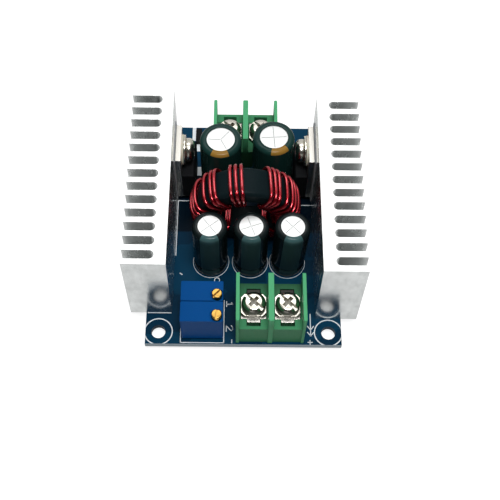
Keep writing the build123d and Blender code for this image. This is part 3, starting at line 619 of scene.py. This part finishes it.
def white_paper():
    """White paper under the module: matt and plain white to the camera. In reflections it glows dim in
    front of the module and brighter elsewhere, a painted reflection."""
    material = new_material("White paper floor")
    seen = add_node(material, "ShaderNodeLightPath").outputs
    depth = point_on(material)["Y"]
    # Painted reflection: to glossy rays the floor glows, dim in front of the module
    reflection_glow = {"Value": depth, "From Min": -0.1, "From Max": -0.05, "To Min": 0.1, "To Max": 0.47}
    mirrored = {0: seen["Is Glossy Ray"], 1: add_node(material, "ShaderNodeMapRange", reflection_glow)}
    mirrored = add_node(material, "ShaderNodeMath", mirrored, operation="MULTIPLY")
    shown = {0: seen["Is Camera Ray"], 1: 0.85, 2: mirrored}
    return finish(
        material,
        {
            "Base Color": colours().floor,
            "Roughness": 0.8,
            "Emission Color": (1, 1, 1, 1),
            "Emission Strength": add_node(material, "ShaderNodeMath", shown, operation="MULTIPLY_ADD"),
        },
    )


def white_studio():
    """White surroundings: plain white to the camera and through clear things, dim as a light, and in
    reflections bright overhead and behind, and dark in front."""
    world = bpy.data.worlds.new("White studio")
    world.use_nodes = True
    world.node_tree.nodes.clear()
    seen = add_node(world, "ShaderNodeLightPath").outputs
    where = add_node(world, "ShaderNodeTexCoord").outputs["Generated"]
    parts = add_node(world, "ShaderNodeSeparateXYZ", {"Vector": where}).outputs
    lean = {0: parts["Z"], 1: 0.9, 2: parts["Y"]}
    tilt = add_node(world, "ShaderNodeMath", lean, operation="MULTIPLY_ADD")
    wall = {"Value": tilt, "From Min": 0.35, "From Max": 1.2, "To Min": 0.05, "To Max": 0.78}
    mirrored = add_node(world, "ShaderNodeMapRange", wall)
    bounces = {"Factor": seen["Is Glossy Ray"], "A": 0.22, "B": mirrored}
    bounced = add_node(world, "ShaderNodeMix", bounces, data_type="FLOAT")
    direct = {0: seen["Is Camera Ray"], 1: seen["Is Transmission Ray"]}
    direct = add_node(world, "ShaderNodeMath", direct, operation="MAXIMUM")
    strengths = {"Factor": direct, "A": bounced, "B": 1.0}
    strength = add_node(world, "ShaderNodeMix", strengths, data_type="FLOAT")
    backdrop = add_node(world, "ShaderNodeBackground", {"Color": (1, 1, 1, 1), "Strength": strength})
    add_node(world, "ShaderNodeOutputWorld", {"Surface": backdrop})
    return world


# Shapes
def place_at(origin, x_axis=(1, 0, 0), z_axis=(0, 0, 1)):
    """A place in metres from an origin in millimetres and two of its directions."""
    x_axis, z_axis = Vector(x_axis).normalized(), Vector(z_axis).normalized()
    columns = Matrix((x_axis, z_axis.cross(x_axis), z_axis)).transposed().to_4x4()
    return Matrix.Translation(Vector(origin) * MILLIMETRE) @ columns


def can_place(spot):
    """The foot of a capacitor, leaning as it stands on the board."""
    can = CAPACITORS[spot]
    up = Vector((*[tan(radians(angle)) for angle in can["lean"]], 1)).normalized()
    foot_radius = can["radius"] - 0.9
    lift = foot_radius * (1 - up.z**2) ** 0.5
    return place_at((*can["foot"], BOARD_TOP + lift), Vector((0, 1, 0)).cross(up), up)


def coil_place():
    """The middle of the ring, its axis along +Z of the place."""
    lean = radians(COIL_LEAN)
    return place_at(COIL_CENTRE, (1, 0, 0), (0, -cos(lean), -sin(lean)))


def put(name, shape, material, body, nodes=(), crease=SMOOTH_ANGLE):
    """Makes a finished piece of a bmesh, hangs it on the body it rides on and hides the nodes it replaces.
    """
    mesh = bpy.data.meshes.new(name)
    shape.to_mesh(mesh)
    shape.free()
    mesh.shade_smooth()
    mesh.set_sharp_from_angle(angle=radians(crease))
    for one in material if isinstance(material, list) else [material]:
        mesh.materials.append(one)
    piece = bpy.data.objects.new(name, mesh)
    bpy.context.scene.collection.objects.link(piece)
    even = piece.modifiers.new("Even shading", "WEIGHTED_NORMAL")
    even.keep_sharp = True
    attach(piece, body)
    if nodes:
        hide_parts(*nodes)


def solid_copy(name):
    """A bmesh of a CAD node, its loose triangles merged into whole faces."""
    shape = bmesh.new()
    shape.from_mesh(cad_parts[name].data)
    bmesh.ops.remove_doubles(shape, verts=shape.verts, dist=MERGE_DISTANCE)
    bmesh.ops.dissolve_limit(
        shape, angle_limit=radians(FLAT_ANGLE), verts=shape.verts, edges=shape.edges
    )
    return shape


def soften(shape, width, segments=2):
    """Rounds the creases of a shape by a width in metres."""
    creases = [
        edge
        for edge in shape.edges
        if edge.is_manifold and edge.calc_face_angle() > radians(CREASE_ANGLE)
    ]
    bmesh.ops.bevel(
        shape,
        geom=creases,
        offset=width,
        offset_type="OFFSET",
        segments=segments,
        profile=0.5,
        affect="EDGES",
        clamp_overlap=True,
        material=-1,
    )
    bmesh.ops.dissolve_degenerate(shape, dist=MERGE_DISTANCE / 4, edges=shape.edges)
    return shape


def dress(name, node, material, width, segments=2, crease=SMOOTH_ANGLE):
    """Puts a CAD node's own shape as a finished piece, its creases rounded by a width in metres."""
    put(name, soften(solid_copy(node), width, segments), material, "module", [node], crease)


def turned(profile, place, steps, closed=False):
    """A bmesh spun from a profile of radii and heights in millimetres."""
    shape = bmesh.new()
    corners = [shape.verts.new((r * MILLIMETRE, 0, z * MILLIMETRE)) for r, z in profile]
    edges = [shape.edges.new(pair) for pair in zip(corners, corners[1:])]
    if closed:
        edges.append(shape.edges.new((corners[-1], corners[0])))
    bmesh.ops.spin(
        shape,
        geom=corners + edges,
        cent=(0, 0, 0),
        axis=(0, 0, 1),
        dvec=(0, 0, 0),
        angle=2 * pi,
        steps=steps,
        use_merge=True,
    )
    bmesh.ops.remove_doubles(shape, verts=shape.verts, dist=MERGE_DISTANCE)
    bmesh.ops.recalc_face_normals(shape, faces=shape.faces)
    bmesh.ops.transform(shape, matrix=place, verts=shape.verts)
    return shape


def arc(centre_r, centre_z, radius, start, end, count=5):
    """Points of a profile round a corner, from one angle to another in degrees."""
    angles = [radians(start + (end - start) * i / count) for i in range(count + 1)]
    return [(centre_r + radius * cos(a), centre_z + radius * sin(a)) for a in angles]


def block(shape, size, place, foot=1.0):
    """Adds a box of a size in millimetres to a bmesh, its lower end narrowed by a factor."""
    corners = bmesh.ops.create_cube(shape, size=1.0)["verts"]
    lower = [corner for corner in corners if corner.co.z < 0]
    bmesh.ops.scale(shape, vec=(foot, foot, 1), verts=lower)
    bmesh.ops.scale(shape, vec=Vector(size) * MILLIMETRE, verts=corners)
    bmesh.ops.transform(shape, matrix=place, verts=corners)


def joined(shapes):
    """One bmesh of several."""
    whole = bmesh.new()
    for shape in shapes:
        mesh = bpy.data.meshes.new("part")
        shape.to_mesh(mesh)
        shape.free()
        whole.from_mesh(mesh)
        bpy.data.meshes.remove(mesh)
    return whole


def cut(shape, cutter, operation="DIFFERENCE"):
    """A bmesh less another, or what they share."""
    pair = []
    for part in (shape, cutter):
        mesh = bpy.data.meshes.new("cut")
        part.to_mesh(mesh)
        part.free()
        pair.append(bpy.data.objects.new("cut", mesh))
        bpy.context.scene.collection.objects.link(pair[-1])
    boolean = pair[0].modifiers.new("Cut", "BOOLEAN")
    boolean.operation = operation
    boolean.solver = "EXACT"
    boolean.object = pair[1]
    bpy.context.view_layer.update()
    view = bpy.context.evaluated_depsgraph_get()
    result = bmesh.new()
    result.from_mesh(pair[0].evaluated_get(view).to_mesh())
    for leftover in pair:
        mesh = leftover.data
        bpy.data.objects.remove(leftover)
        bpy.data.meshes.remove(mesh)
    return result


def grooved(shape, size, turn, middle, foot=1.0):
    """A bmesh less a blade: a block of a size and middle in millimetres, turned round +Z."""
    blade = bmesh.new()
    block(blade, size, Matrix.Rotation(radians(turn), 4, "Z") @ place_at(middle), foot)
    return cut(shape, blade)


def threaded(radius, depth, top, bottom, pitch):
    """Profile points of a thread drawn as rings, from the top down."""
    points = []
    z = top
    while z - pitch > bottom:
        points += [(radius, z), (radius - depth, z - pitch / 2)]
        z -= pitch
    return points + [(radius, z), (radius - depth, bottom), (0, bottom)]


def pan_head_screw(place, reach, turn, shaded_rim=3.0):
    """A pan-head screw whose crossed recess runs on into one long slot. Its recess, and its rim
    beyond a radius, take the second material, painted in shade."""
    head = [(0, 2.0), (1.55, 1.99), *arc(1.5, 0.75, 1.25, 78, 0, 8), (2.75, 0.12), (2.68, 0.0)]
    neck, thread_depth, thread_top = 1.45, 0.22, -0.3
    thread = threaded(neck, thread_depth, thread_top, -reach, sizes().thread_pitch / MILLIMETRE)
    screw = turned([*head, (neck, 0.0), *thread], Matrix.Identity(4), sizes().steps)
    slot_blade, cross_blade, cross_taper = (7.0, 0.8, 2.0), (3.5, 1.15, 2.4), 0.62
    screw = grooved(screw, slot_blade, turn, (0, 0, 2.3))
    for step in (0, 90):
        screw = grooved(screw, cross_blade, turn + step, (0, 0, 2.0), cross_taper)
    recess_floor, recess_top, recess_reach = 0.2, 1.25, 1.8
    for face in screw.faces:
        middle = face.calc_center_median() / MILLIMETRE
        sunk = recess_floor < middle.z < recess_top and middle.xy.length < recess_reach
        face.material_index = int(sunk or middle.xy.length > shaded_rim)
    bmesh.ops.transform(screw, matrix=place, verts=screw.verts)
    return screw


def strand_points(angle, lean, slack):
    """Control points of one strand's closed loop round the ring's section, in metres. A slack
    strand stands off the rim."""
    radial = Vector((sin(radians(angle)), cos(radians(angle)), 0))
    across = Vector((cos(radians(angle)), -sin(radians(angle)), 0))
    # Half the loop, as distance from the coil's axis and height along it
    half = [
        (11.9 + slack, 0.0),
        (11.9 + 0.9 * slack, 1.7),
        (11.8 + 0.5 * slack, 3.1),
        (11.2 + 0.2 * slack, 4.2),
        (9.8, 4.4),
        (8.4, 4.2),
        (7.2, 4.2),
        (6.4, 3.7),
        (6.25, 1.6),
        (6.25, 0.0),
    ]
    section = half + [(reach, -along) for reach, along in reversed(half[1:-1])]
    points = []
    for reach, along in section:
        local = radial * reach + across * along * tan(radians(lean)) + Vector((0, 0, along))
        points.append(coil_place() @ (local * MILLIMETRE))
    return points


def wire_mesh(routes, closed):
    """Round wire along smooth routes, as one bmesh."""
    curve = bpy.data.curves.new("wire", "CURVE")
    curve.dimensions = "3D"
    curve.bevel_depth = sizes().wire_radius
    curve.bevel_resolution = 4
    curve.resolution_u = 5
    curve.use_fill_caps = True
    for route in routes:
        spline = curve.splines.new("NURBS")
        spline.points.add(len(route) - 1)
        for point, where in zip(spline.points, route):
            point.co = (*where, 1)
        spline.use_cyclic_u = closed
        spline.use_endpoint_u = not closed
        spline.order_u = 4
    holder = bpy.data.objects.new("wire", curve)
    shape = bmesh.new()
    shape.from_mesh(holder.to_mesh())
    bpy.data.objects.remove(holder)
    bpy.data.curves.remove(curve)
    return shape


# Operators, one for each group of pieces
class BuildBoard(bpy.types.Operator):
    """Dresses the circuit board and lays its print on it"""

    bl_idname = "converter.board"
    bl_label = "Circuit board"

    def execute(self, context):
        mask = solder_mask_board()
        dress("board_laminate", "circuit_board", mask, sizes().stamped_edge / 2, 1)
        height = sizes().print_height / MILLIMETRE
        print_z = BOARD_TOP + height / 2
        sheet = bmesh.new()
        for route, width in PRINT_LINES:
            for start, end in zip(route, route[1:]):
                along = Vector((*end, 0)) - Vector((*start, 0))
                middle = (Vector(start) + Vector(end)) / 2
                block(sheet, (along.length + width, width, height), place_at((*middle, print_z), along))
        for (x0, y0), (x1, y1) in PRINT_BARS:
            place = place_at(((x0 + x1) / 2, (y0 + y1) / 2, print_z))
            block(sheet, (x1 - x0, y1 - y0, height), place)
        rings = []
        for x, y, radius, width in PRINT_RINGS:
            inner, outer = radius - width / 2, radius + width / 2
            profile = [(inner, 0), (outer, 0), (outer, height), (inner, height)]
            rings.append(turned(profile, place_at((x, y, BOARD_TOP)), sizes().steps, closed=True))
        outline = bmesh.new()
        size = [2 * (half - PRINT_INSET) for half in BOARD_HALF]
        block(outline, (*size, 1), place_at((0, 0, BOARD_TOP)))
        sheet = joined([sheet, cut(joined(rings), outline, "INTERSECT")])
        put("board_print", sheet, printed_ink(), "module")
        return {"FINISHED"}


class BuildHeatsinks(bpy.types.Operator):
    """Dresses the two extruded heatsinks and their solder pins"""

    bl_idname = "converter.heatsinks"
    bl_label = "Heatsinks"

    def execute(self, context):
        metal = extruded_aluminium()
        for side in ("left", "right"):
            dress(f"{side}_extrusion", f"{side}_heatsink", metal, sizes().extruded_edge)
        tin = plated_metal("Tinned steel pins", colours().tin)
        dress("extrusion_pins", "heatsink_pins", tin, sizes().stamped_edge)
        return {"FINISHED"}


class BuildTransistors(bpy.types.Operator):
    """Dresses the two transistors and their screws, washers, bushes and pads"""

    bl_idname = "converter.transistors"
    bl_label = "Transistors"

    def execute(self, context):
        tin = plated_metal("Tinned copper lead frame", colours().tin, 0.28)
        steel = plated_metal("Zinc-plated steel screws", colours().steel, 0.2)
        # Painted shade: a darkened copy of the steel for the screws' recesses
        recess = plated_metal("Zinc-plated steel in painted shade for recesses", shade(colours().steel, 0.3), 0.45)
        compound = moulded_plastic("Epoxy moulding compound", colours().epoxy, 0.5, 0.08, 0.006)
        pad = moulded_plastic("Silicone pad", colours().pad, 0.6, 0.15, 0.006)
        bush = moulded_plastic("Moulded nylon bush", colours().bush, 0.4, scatter=0.2)
        edge = sizes().stamped_edge
        for kind, node, material, slot in (
            ("tab", "transistor_tab", tin, "tinned_copper"),
            ("leads", "transistor_leads", tin, "tinned_copper"),
            ("body", "transistor_body", compound, "black_epoxy"),
            ("pad", "insulating_pad", pad, "pad"),
        ):
            for side in ("left", "right"):
                dress(f"{side}_case_{kind}", f"{side}_{node}", material, edge)
        dress("shouldered_bushes", "transistor_bushes", bush, edge)
        dress("plain_washers", "transistor_washers", steel, edge)
        x, y, z = TRANSISTOR_SCREW
        for side, sign in {"left": -1, "right": 1}.items():
            place = place_at((sign * x, y, z), (0, 0, -sign), (-sign, 0, 0))
            screw = pan_head_screw(place, 5.4, 35)
            node = f"{side}_transistor_screw"
            put(f"{side}_case_screw", screw, [steel, recess], "module", [node])
        return {"FINISHED"}


class BuildTerminals(bpy.types.Operator):
    """Dresses the two barrier terminals with their strips, clamp plates and screws"""

    bl_idname = "converter.terminals"
    bl_label = "Terminals"

    def execute(self, context):
        green = terminal_plastic()
        tin = contact_strip()
        steel = plated_metal("Nickel-plated steel clamps", colours().steel, 0.18)
        # Painted shade: a darkened copy of the steel for screw recesses and rims and the plates' upright
        # faces
        dull = plated_metal("Dull nickel of recesses and sheared edges", shade(colours().steel, 0.3), 0.45)
        for terminal, sign in {"output": -1, "input": 1}.items():
            node = f"{terminal}_terminal_housing"
            shapes = [soften(solid_copy(node), sizes().moulded_edge)]
            centre = (POLES[f"{terminal}_left"][0] + POLES[f"{terminal}_right"][0]) / 2
            front, rib_middle = sign * TERMINAL_FRONT[terminal], (BOARD_TOP + FENCE_TOP) / 2
            for offset, width in FENCES:
                rib = bmesh.new()
                size = (width - RIB_GAP, 2 * RIB_DEPTH, FENCE_TOP - BOARD_TOP - RIB_GAP)
                block(rib, size, place_at((centre + offset, front, rib_middle)))
                shapes.append(soften(rib, sizes().moulded_edge))
            name = f"{terminal}_terminal_block"
            put(name, joined(shapes), green, "module", [node])
        for pole, (x, y) in POLES.items():
            dress(f"{pole}_strip", f"{pole}_contact", tin, sizes().stamped_edge)
            clamp, screw = f"{pole}_clamp", f"{pole}_screw"
            shape = soften(solid_copy(clamp), sizes().stamped_edge)
            # Painted shade: the plates' upright faces take the darkened steel
            for face in shape.faces:
                face.material_index = int(abs(face.normal.z) < 0.5)
            put(f"{pole}_plate", shape, [steel, dull], clamp, [clamp])
            # Painted shade in the screw's recess and on its rim beyond 2.4 mm
            shape = pan_head_screw(place_at((x, y, CLAMP_TOP)), 6.0, -42, 2.4)
            put(f"{pole}_clamp_screw", shape, [steel, dull], screw, [screw])
        return {"FINISHED"}


class BuildTrimmers(bpy.types.Operator):
    """Dresses the two multi-turn trimmers and their slotted brass screws"""

    bl_idname = "converter.trimmers"
    bl_label = "Trimmers"

    def execute(self, context):
        blue = moulded_plastic("Blue moulded polyester", colours().trimmer, 0.34, 0.12, 0.004, 0.08)
        brass = plated_metal("Turned brass", colours().brass, 0.22)
        tin = plated_metal("Tinned trimmer pins", colours().tin)
        radius, top, depth, corner = 1.15, 1.1, 2.6, 0.2
        slot_blade = (3.0, 0.5, 1.2)
        rounded = arc(radius - corner, top - corner, corner, 80, 0, 3)
        profile = [(0, top), (radius - corner, top), *rounded, (radius, -depth), (0, -depth)]
        for trimmer, (x, y, turn) in TRIMMER_SCREWS.items():
            dress(f"{trimmer}_box", f"{trimmer}_housing", blue, sizes().moulded_edge)
            screw = turned(profile, Matrix.Identity(4), sizes().steps)
            screw = grooved(screw, slot_blade, turn, (0, 0, top))
            bmesh.ops.transform(screw, matrix=place_at((x, y, TRIMMER_TOP)), verts=screw.verts)
            body = f"{trimmer}_screw"
            put(f"{trimmer}_adjuster", screw, brass, body, [body])
        pins = solid_copy("trimmer_pins")
        put("trimmer_feet", pins, tin, "module", ["trimmer_pins"])
        return {"FINISHED"}


class BuildCoil(bpy.types.Operator):
    """Builds the coated ring core and winds its turns of three strands"""

    bl_idname = "converter.coil"
    bl_label = "Ring coil"

    def execute(self, context):
        outer, inner, half, corner = 11.3, 7.0, 3.6, 1.05
        profile = [
            *arc(outer - corner, half - corner, corner, 0, 90),
            *arc(inner + corner, half - corner, corner, 90, 180),
            *arc(inner + corner, corner - half, corner, 180, 270),
            *arc(outer - corner, corner - half, corner, 270, 360),
        ]
        core = turned(profile, coil_place(), 2 * sizes().steps, closed=True)
        put("ring_core", core, coated_core(), "module", ["coil_core"])
        chance = random.Random(7)
        loops = []
        for angle in STRAND_ANGLES:
            lean = STRAND_LEAN + chance.uniform(-STRAND_SWAY, STRAND_SWAY)
            spring = 0.3 if angle < 0 else 0.15
            slack = (spring + chance.uniform(0.1, 0.5)) * sin(radians(angle)) ** 2
            loops.append(strand_points(angle, lean, slack))
        pitch = sizes().strand_pitch / MILLIMETRE
        leads = []
        for side in (-1, 1):
            for strand in (-1, 0, 1):
                x = COIL_CENTRE[0] + side * (LEAD_SPREAD + strand * pitch)
                leads.append([Vector((x - side * inward, y, z)) * MILLIMETRE for inward, y, z in LEAD_ROUTE])
        winding = joined([wire_mesh(loops, True), wire_mesh(leads, False)])
        put("ring_winding", winding, enamelled_wire(), "module", ["coil_winding"], 60)
        return {"FINISHED"}


class BuildCapacitors(bpy.types.Operator):
    """Builds the capacitors' sleeves and scored can tops, and dresses their bungs and leads"""

    bl_idname = "converter.capacitors"
    bl_label = "Capacitors"

    def execute(self, context):
        metal = plated_metal("Drawn aluminium can", colours().can, 0.45, 0.3, 0.004)
        # Painted shade: the score lines take a darker metal colour
        scored = plated_metal("Scored aluminium with painted shade in the grooves", colours().score, 0.6, 0.3, 0.004)
        finishes = {
            "output": (colours().sleeve_black, colours().stripe_grey, "sleeve_black"),
            "input": (colours().sleeve_green, colours().stripe_gold, "sleeve_green"),
        }
        steps = sizes().steps
        for spot, can in CAPACITORS.items():
            radius, height = can["radius"], can["height"]
            opening, inner, shoulder = radius * 0.67, radius - 0.6, 1.0
            profile = [
                (inner, 0.3),
                (radius - 0.15, 0.25),
                (radius, 0.45),
                (radius, 2.0),
                (radius - 0.06, 2.3),
                (radius - 0.3, 2.62),
                (radius - 0.37, 2.8),
                (radius - 0.3, 2.98),
                (radius - 0.06, 3.3),
                (radius, 3.6),
                (radius, height * 0.5),
                *arc(radius - shoulder, height - shoulder, shoulder, 0, 90, 6),
                (opening + 0.08, height),
                (opening, height - 0.06),
                (opening, height - 0.2),
                (inner, height - 0.4),
            ]
            sleeve = turned(profile, can_place(spot), steps, closed=True)
            base, stripe, slot = finishes[spot.split("_")[0]]
            film = shrunk_sleeve(f"Shrunk film {spot}", spot, base, stripe)
            put(f"{spot}_film", sleeve, film, "module", [f"{spot}_capacitor_sleeve"])
            top, bottom, wall = height - 0.22, 0.5, inner - 0.02
            profile = [(0, top), (opening, top), (opening + 0.2, top - 0.2), (wall, top - 0.8)]
            body = turned([*profile, (wall, bottom), (0, bottom)], Matrix.Identity(4), steps)
            line, line_middle = (opening * 0.96, 0.12, 0.3), (opening * 0.46, 0, top)
            for angle in can["score"]:
                body = grooved(body, line, angle + can["score_turn"], line_middle, foot=0.8)
            # Painted shade: faces sunk in the score lines take the darker metal
            for face in body.faces:
                middle = face.calc_center_median() / MILLIMETRE
                sunk = top - 0.2 < middle.z < top - 0.02 and middle.xy.length < opening
                face.material_index = int(sunk)
            bmesh.ops.transform(body, matrix=can_place(spot), verts=body.verts)
            node = f"{spot}_capacitor_can"
            put(f"{spot}_vent_can", body, [metal, scored], "module", [node])
        rubber = moulded_plastic("Moulded butyl rubber", colours().rubber, 0.6)
        dress("rubber_bungs", "capacitor_bungs", rubber, sizes().stamped_edge)
        tin = plated_metal("Tinned copper-clad leads", colours().tin)
        wires = solid_copy("capacitor_leads")
        put("capacitor_wires", wires, tin, "module", ["capacitor_leads"])
        return {"FINISHED"}


class BuildSmallParts(bpy.types.Operator):
    """Dresses the diode, the parts under the board and the solder"""

    bl_idname = "converter.small_parts"
    bl_label = "Small parts"

    def execute(self, context):
        compound = moulded_plastic("Black moulding compound", colours().epoxy, 0.45, 0.08, 0.005)
        tin = plated_metal("Tin plating", colours().tin, 0.3)
        solder = plated_metal("Reflowed solder", colours().solder, 0.16, 0.5, 0.004)
        edge = sizes().stamped_edge
        for node, name in {
            "input_diode": "diode_body",
            "control_chip": "chip_body",
            "shunt_resistors": "shunt_bodies",
            "chip_resistors": "resistor_bodies",
        }.items():
            dress(name, node, compound, edge)
        dress("chip_leads", "control_chip_leads", tin, edge / 4, 1)
        dress("solder_cones", "solder_joints", solder, edge, crease=75)
        return {"FINISHED"}


class BuildStage(bpy.types.Operator):
    """Sets the floor, the lamps, the white surroundings and the camera"""

    bl_idname = "converter.stage"
    bl_label = "Stage"

    def execute(self, context):
        scene = context.scene
        scene.view_settings.view_transform = "Standard"
        sheet = bmesh.new()
        bmesh.ops.create_grid(sheet, x_segments=1, y_segments=1, size=FLOOR_HALF)
        bmesh.ops.translate(sheet, vec=(0, 0, CAD_BOX[0].z), verts=sheet.verts)
        mesh = bpy.data.meshes.new("floor")
        sheet.to_mesh(mesh)
        sheet.free()
        mesh.materials.append(white_paper())
        floor = bpy.data.objects.new("floor", mesh)
        scene.collection.objects.link(floor)
        scene.world = white_studio()

        for name, where, watts, size in LAMPS:
            lamp = bpy.data.lights.new(name, "AREA")
            lamp.shape = "RECTANGLE"
            lamp.energy = watts
            lamp.size, lamp.size_y = size
            holder = bpy.data.objects.new(name, lamp)
            holder.location = where
            aim = Vector(LAMP_AIM) - Vector(where)
            holder.rotation_euler = aim.to_track_quat("-Z", "Y").to_euler()
            scene.collection.objects.link(holder)

        azimuth, elevation = radians(CAMERA_AZIMUTH), radians(CAMERA_ELEVATION)
        back = Vector((sin(azimuth) * cos(elevation), -cos(azimuth) * cos(elevation), sin(elevation)))
        right = Vector((0, 0, 1)).cross(back).normalized()
        up = back.cross(right)
        roll = radians(CAMERA_ROLL)
        tilted_right = right * cos(roll) + up * sin(roll)
        tilted_up = up * cos(roll) - right * sin(roll)
        turn = Matrix((tilted_right, tilted_up, back)).transposed().to_4x4()
        lens = bpy.data.cameras.new("Photo camera")
        lens.lens = CAMERA_LENS
        lens.shift_x, lens.shift_y = CAMERA_SHIFT
        lens.clip_start = 0.001
        camera = bpy.data.objects.new("Photo camera", lens)
        camera.matrix_world = Matrix.Translation(Vector(CAMERA_PLACE) * MILLIMETRE) @ turn
        scene.collection.objects.link(camera)
        scene.camera = camera
        return {"FINISHED"}


OPERATORS = [
    BuildStage,
    BuildBoard,
    BuildHeatsinks,
    BuildTransistors,
    BuildTerminals,
    BuildTrimmers,
    BuildCoil,
    BuildCapacitors,
    BuildSmallParts,
]


class ConverterPanel(bpy.types.Panel):
    """Lists the module's builders and their settings"""

    bl_idname = "VIEW3D_PT_converter"
    bl_label = "Converter module"
    bl_space_type = "VIEW_3D"
    bl_region_type = "UI"
    bl_category = "Converter"

    def draw(self, context):
        for operator in OPERATORS:
            self.layout.operator(operator.bl_idname)
        for group in (context.scene.converter_sizes, context.scene.converter_colours):
            box = self.layout.box()
            for name in group.__annotations__:
                box.prop(group, name)


CLASSES = [ConverterSizes, ConverterColours, *OPERATORS, ConverterPanel]


def register():
    """Makes the settings, the builders and the panel known."""
    for one in CLASSES:
        bpy.utils.register_class(one)
    bpy.types.Scene.converter_sizes = PointerProperty(type=ConverterSizes)
    bpy.types.Scene.converter_colours = PointerProperty(type=ConverterColours)


def unregister():
    """Takes them away again."""
    del bpy.types.Scene.converter_colours
    del bpy.types.Scene.converter_sizes
    for one in reversed(CLASSES):
        bpy.utils.unregister_class(one)


def main():
    """Builds every piece in order."""
    register()
    for operator in OPERATORS:
        group, name = operator.bl_idname.split(".")
        if getattr(getattr(bpy.ops, group), name)() != {"FINISHED"}:
            raise RuntimeError(f"{operator.bl_label} didn't finish")


if __name__ == "__main__":
    main()
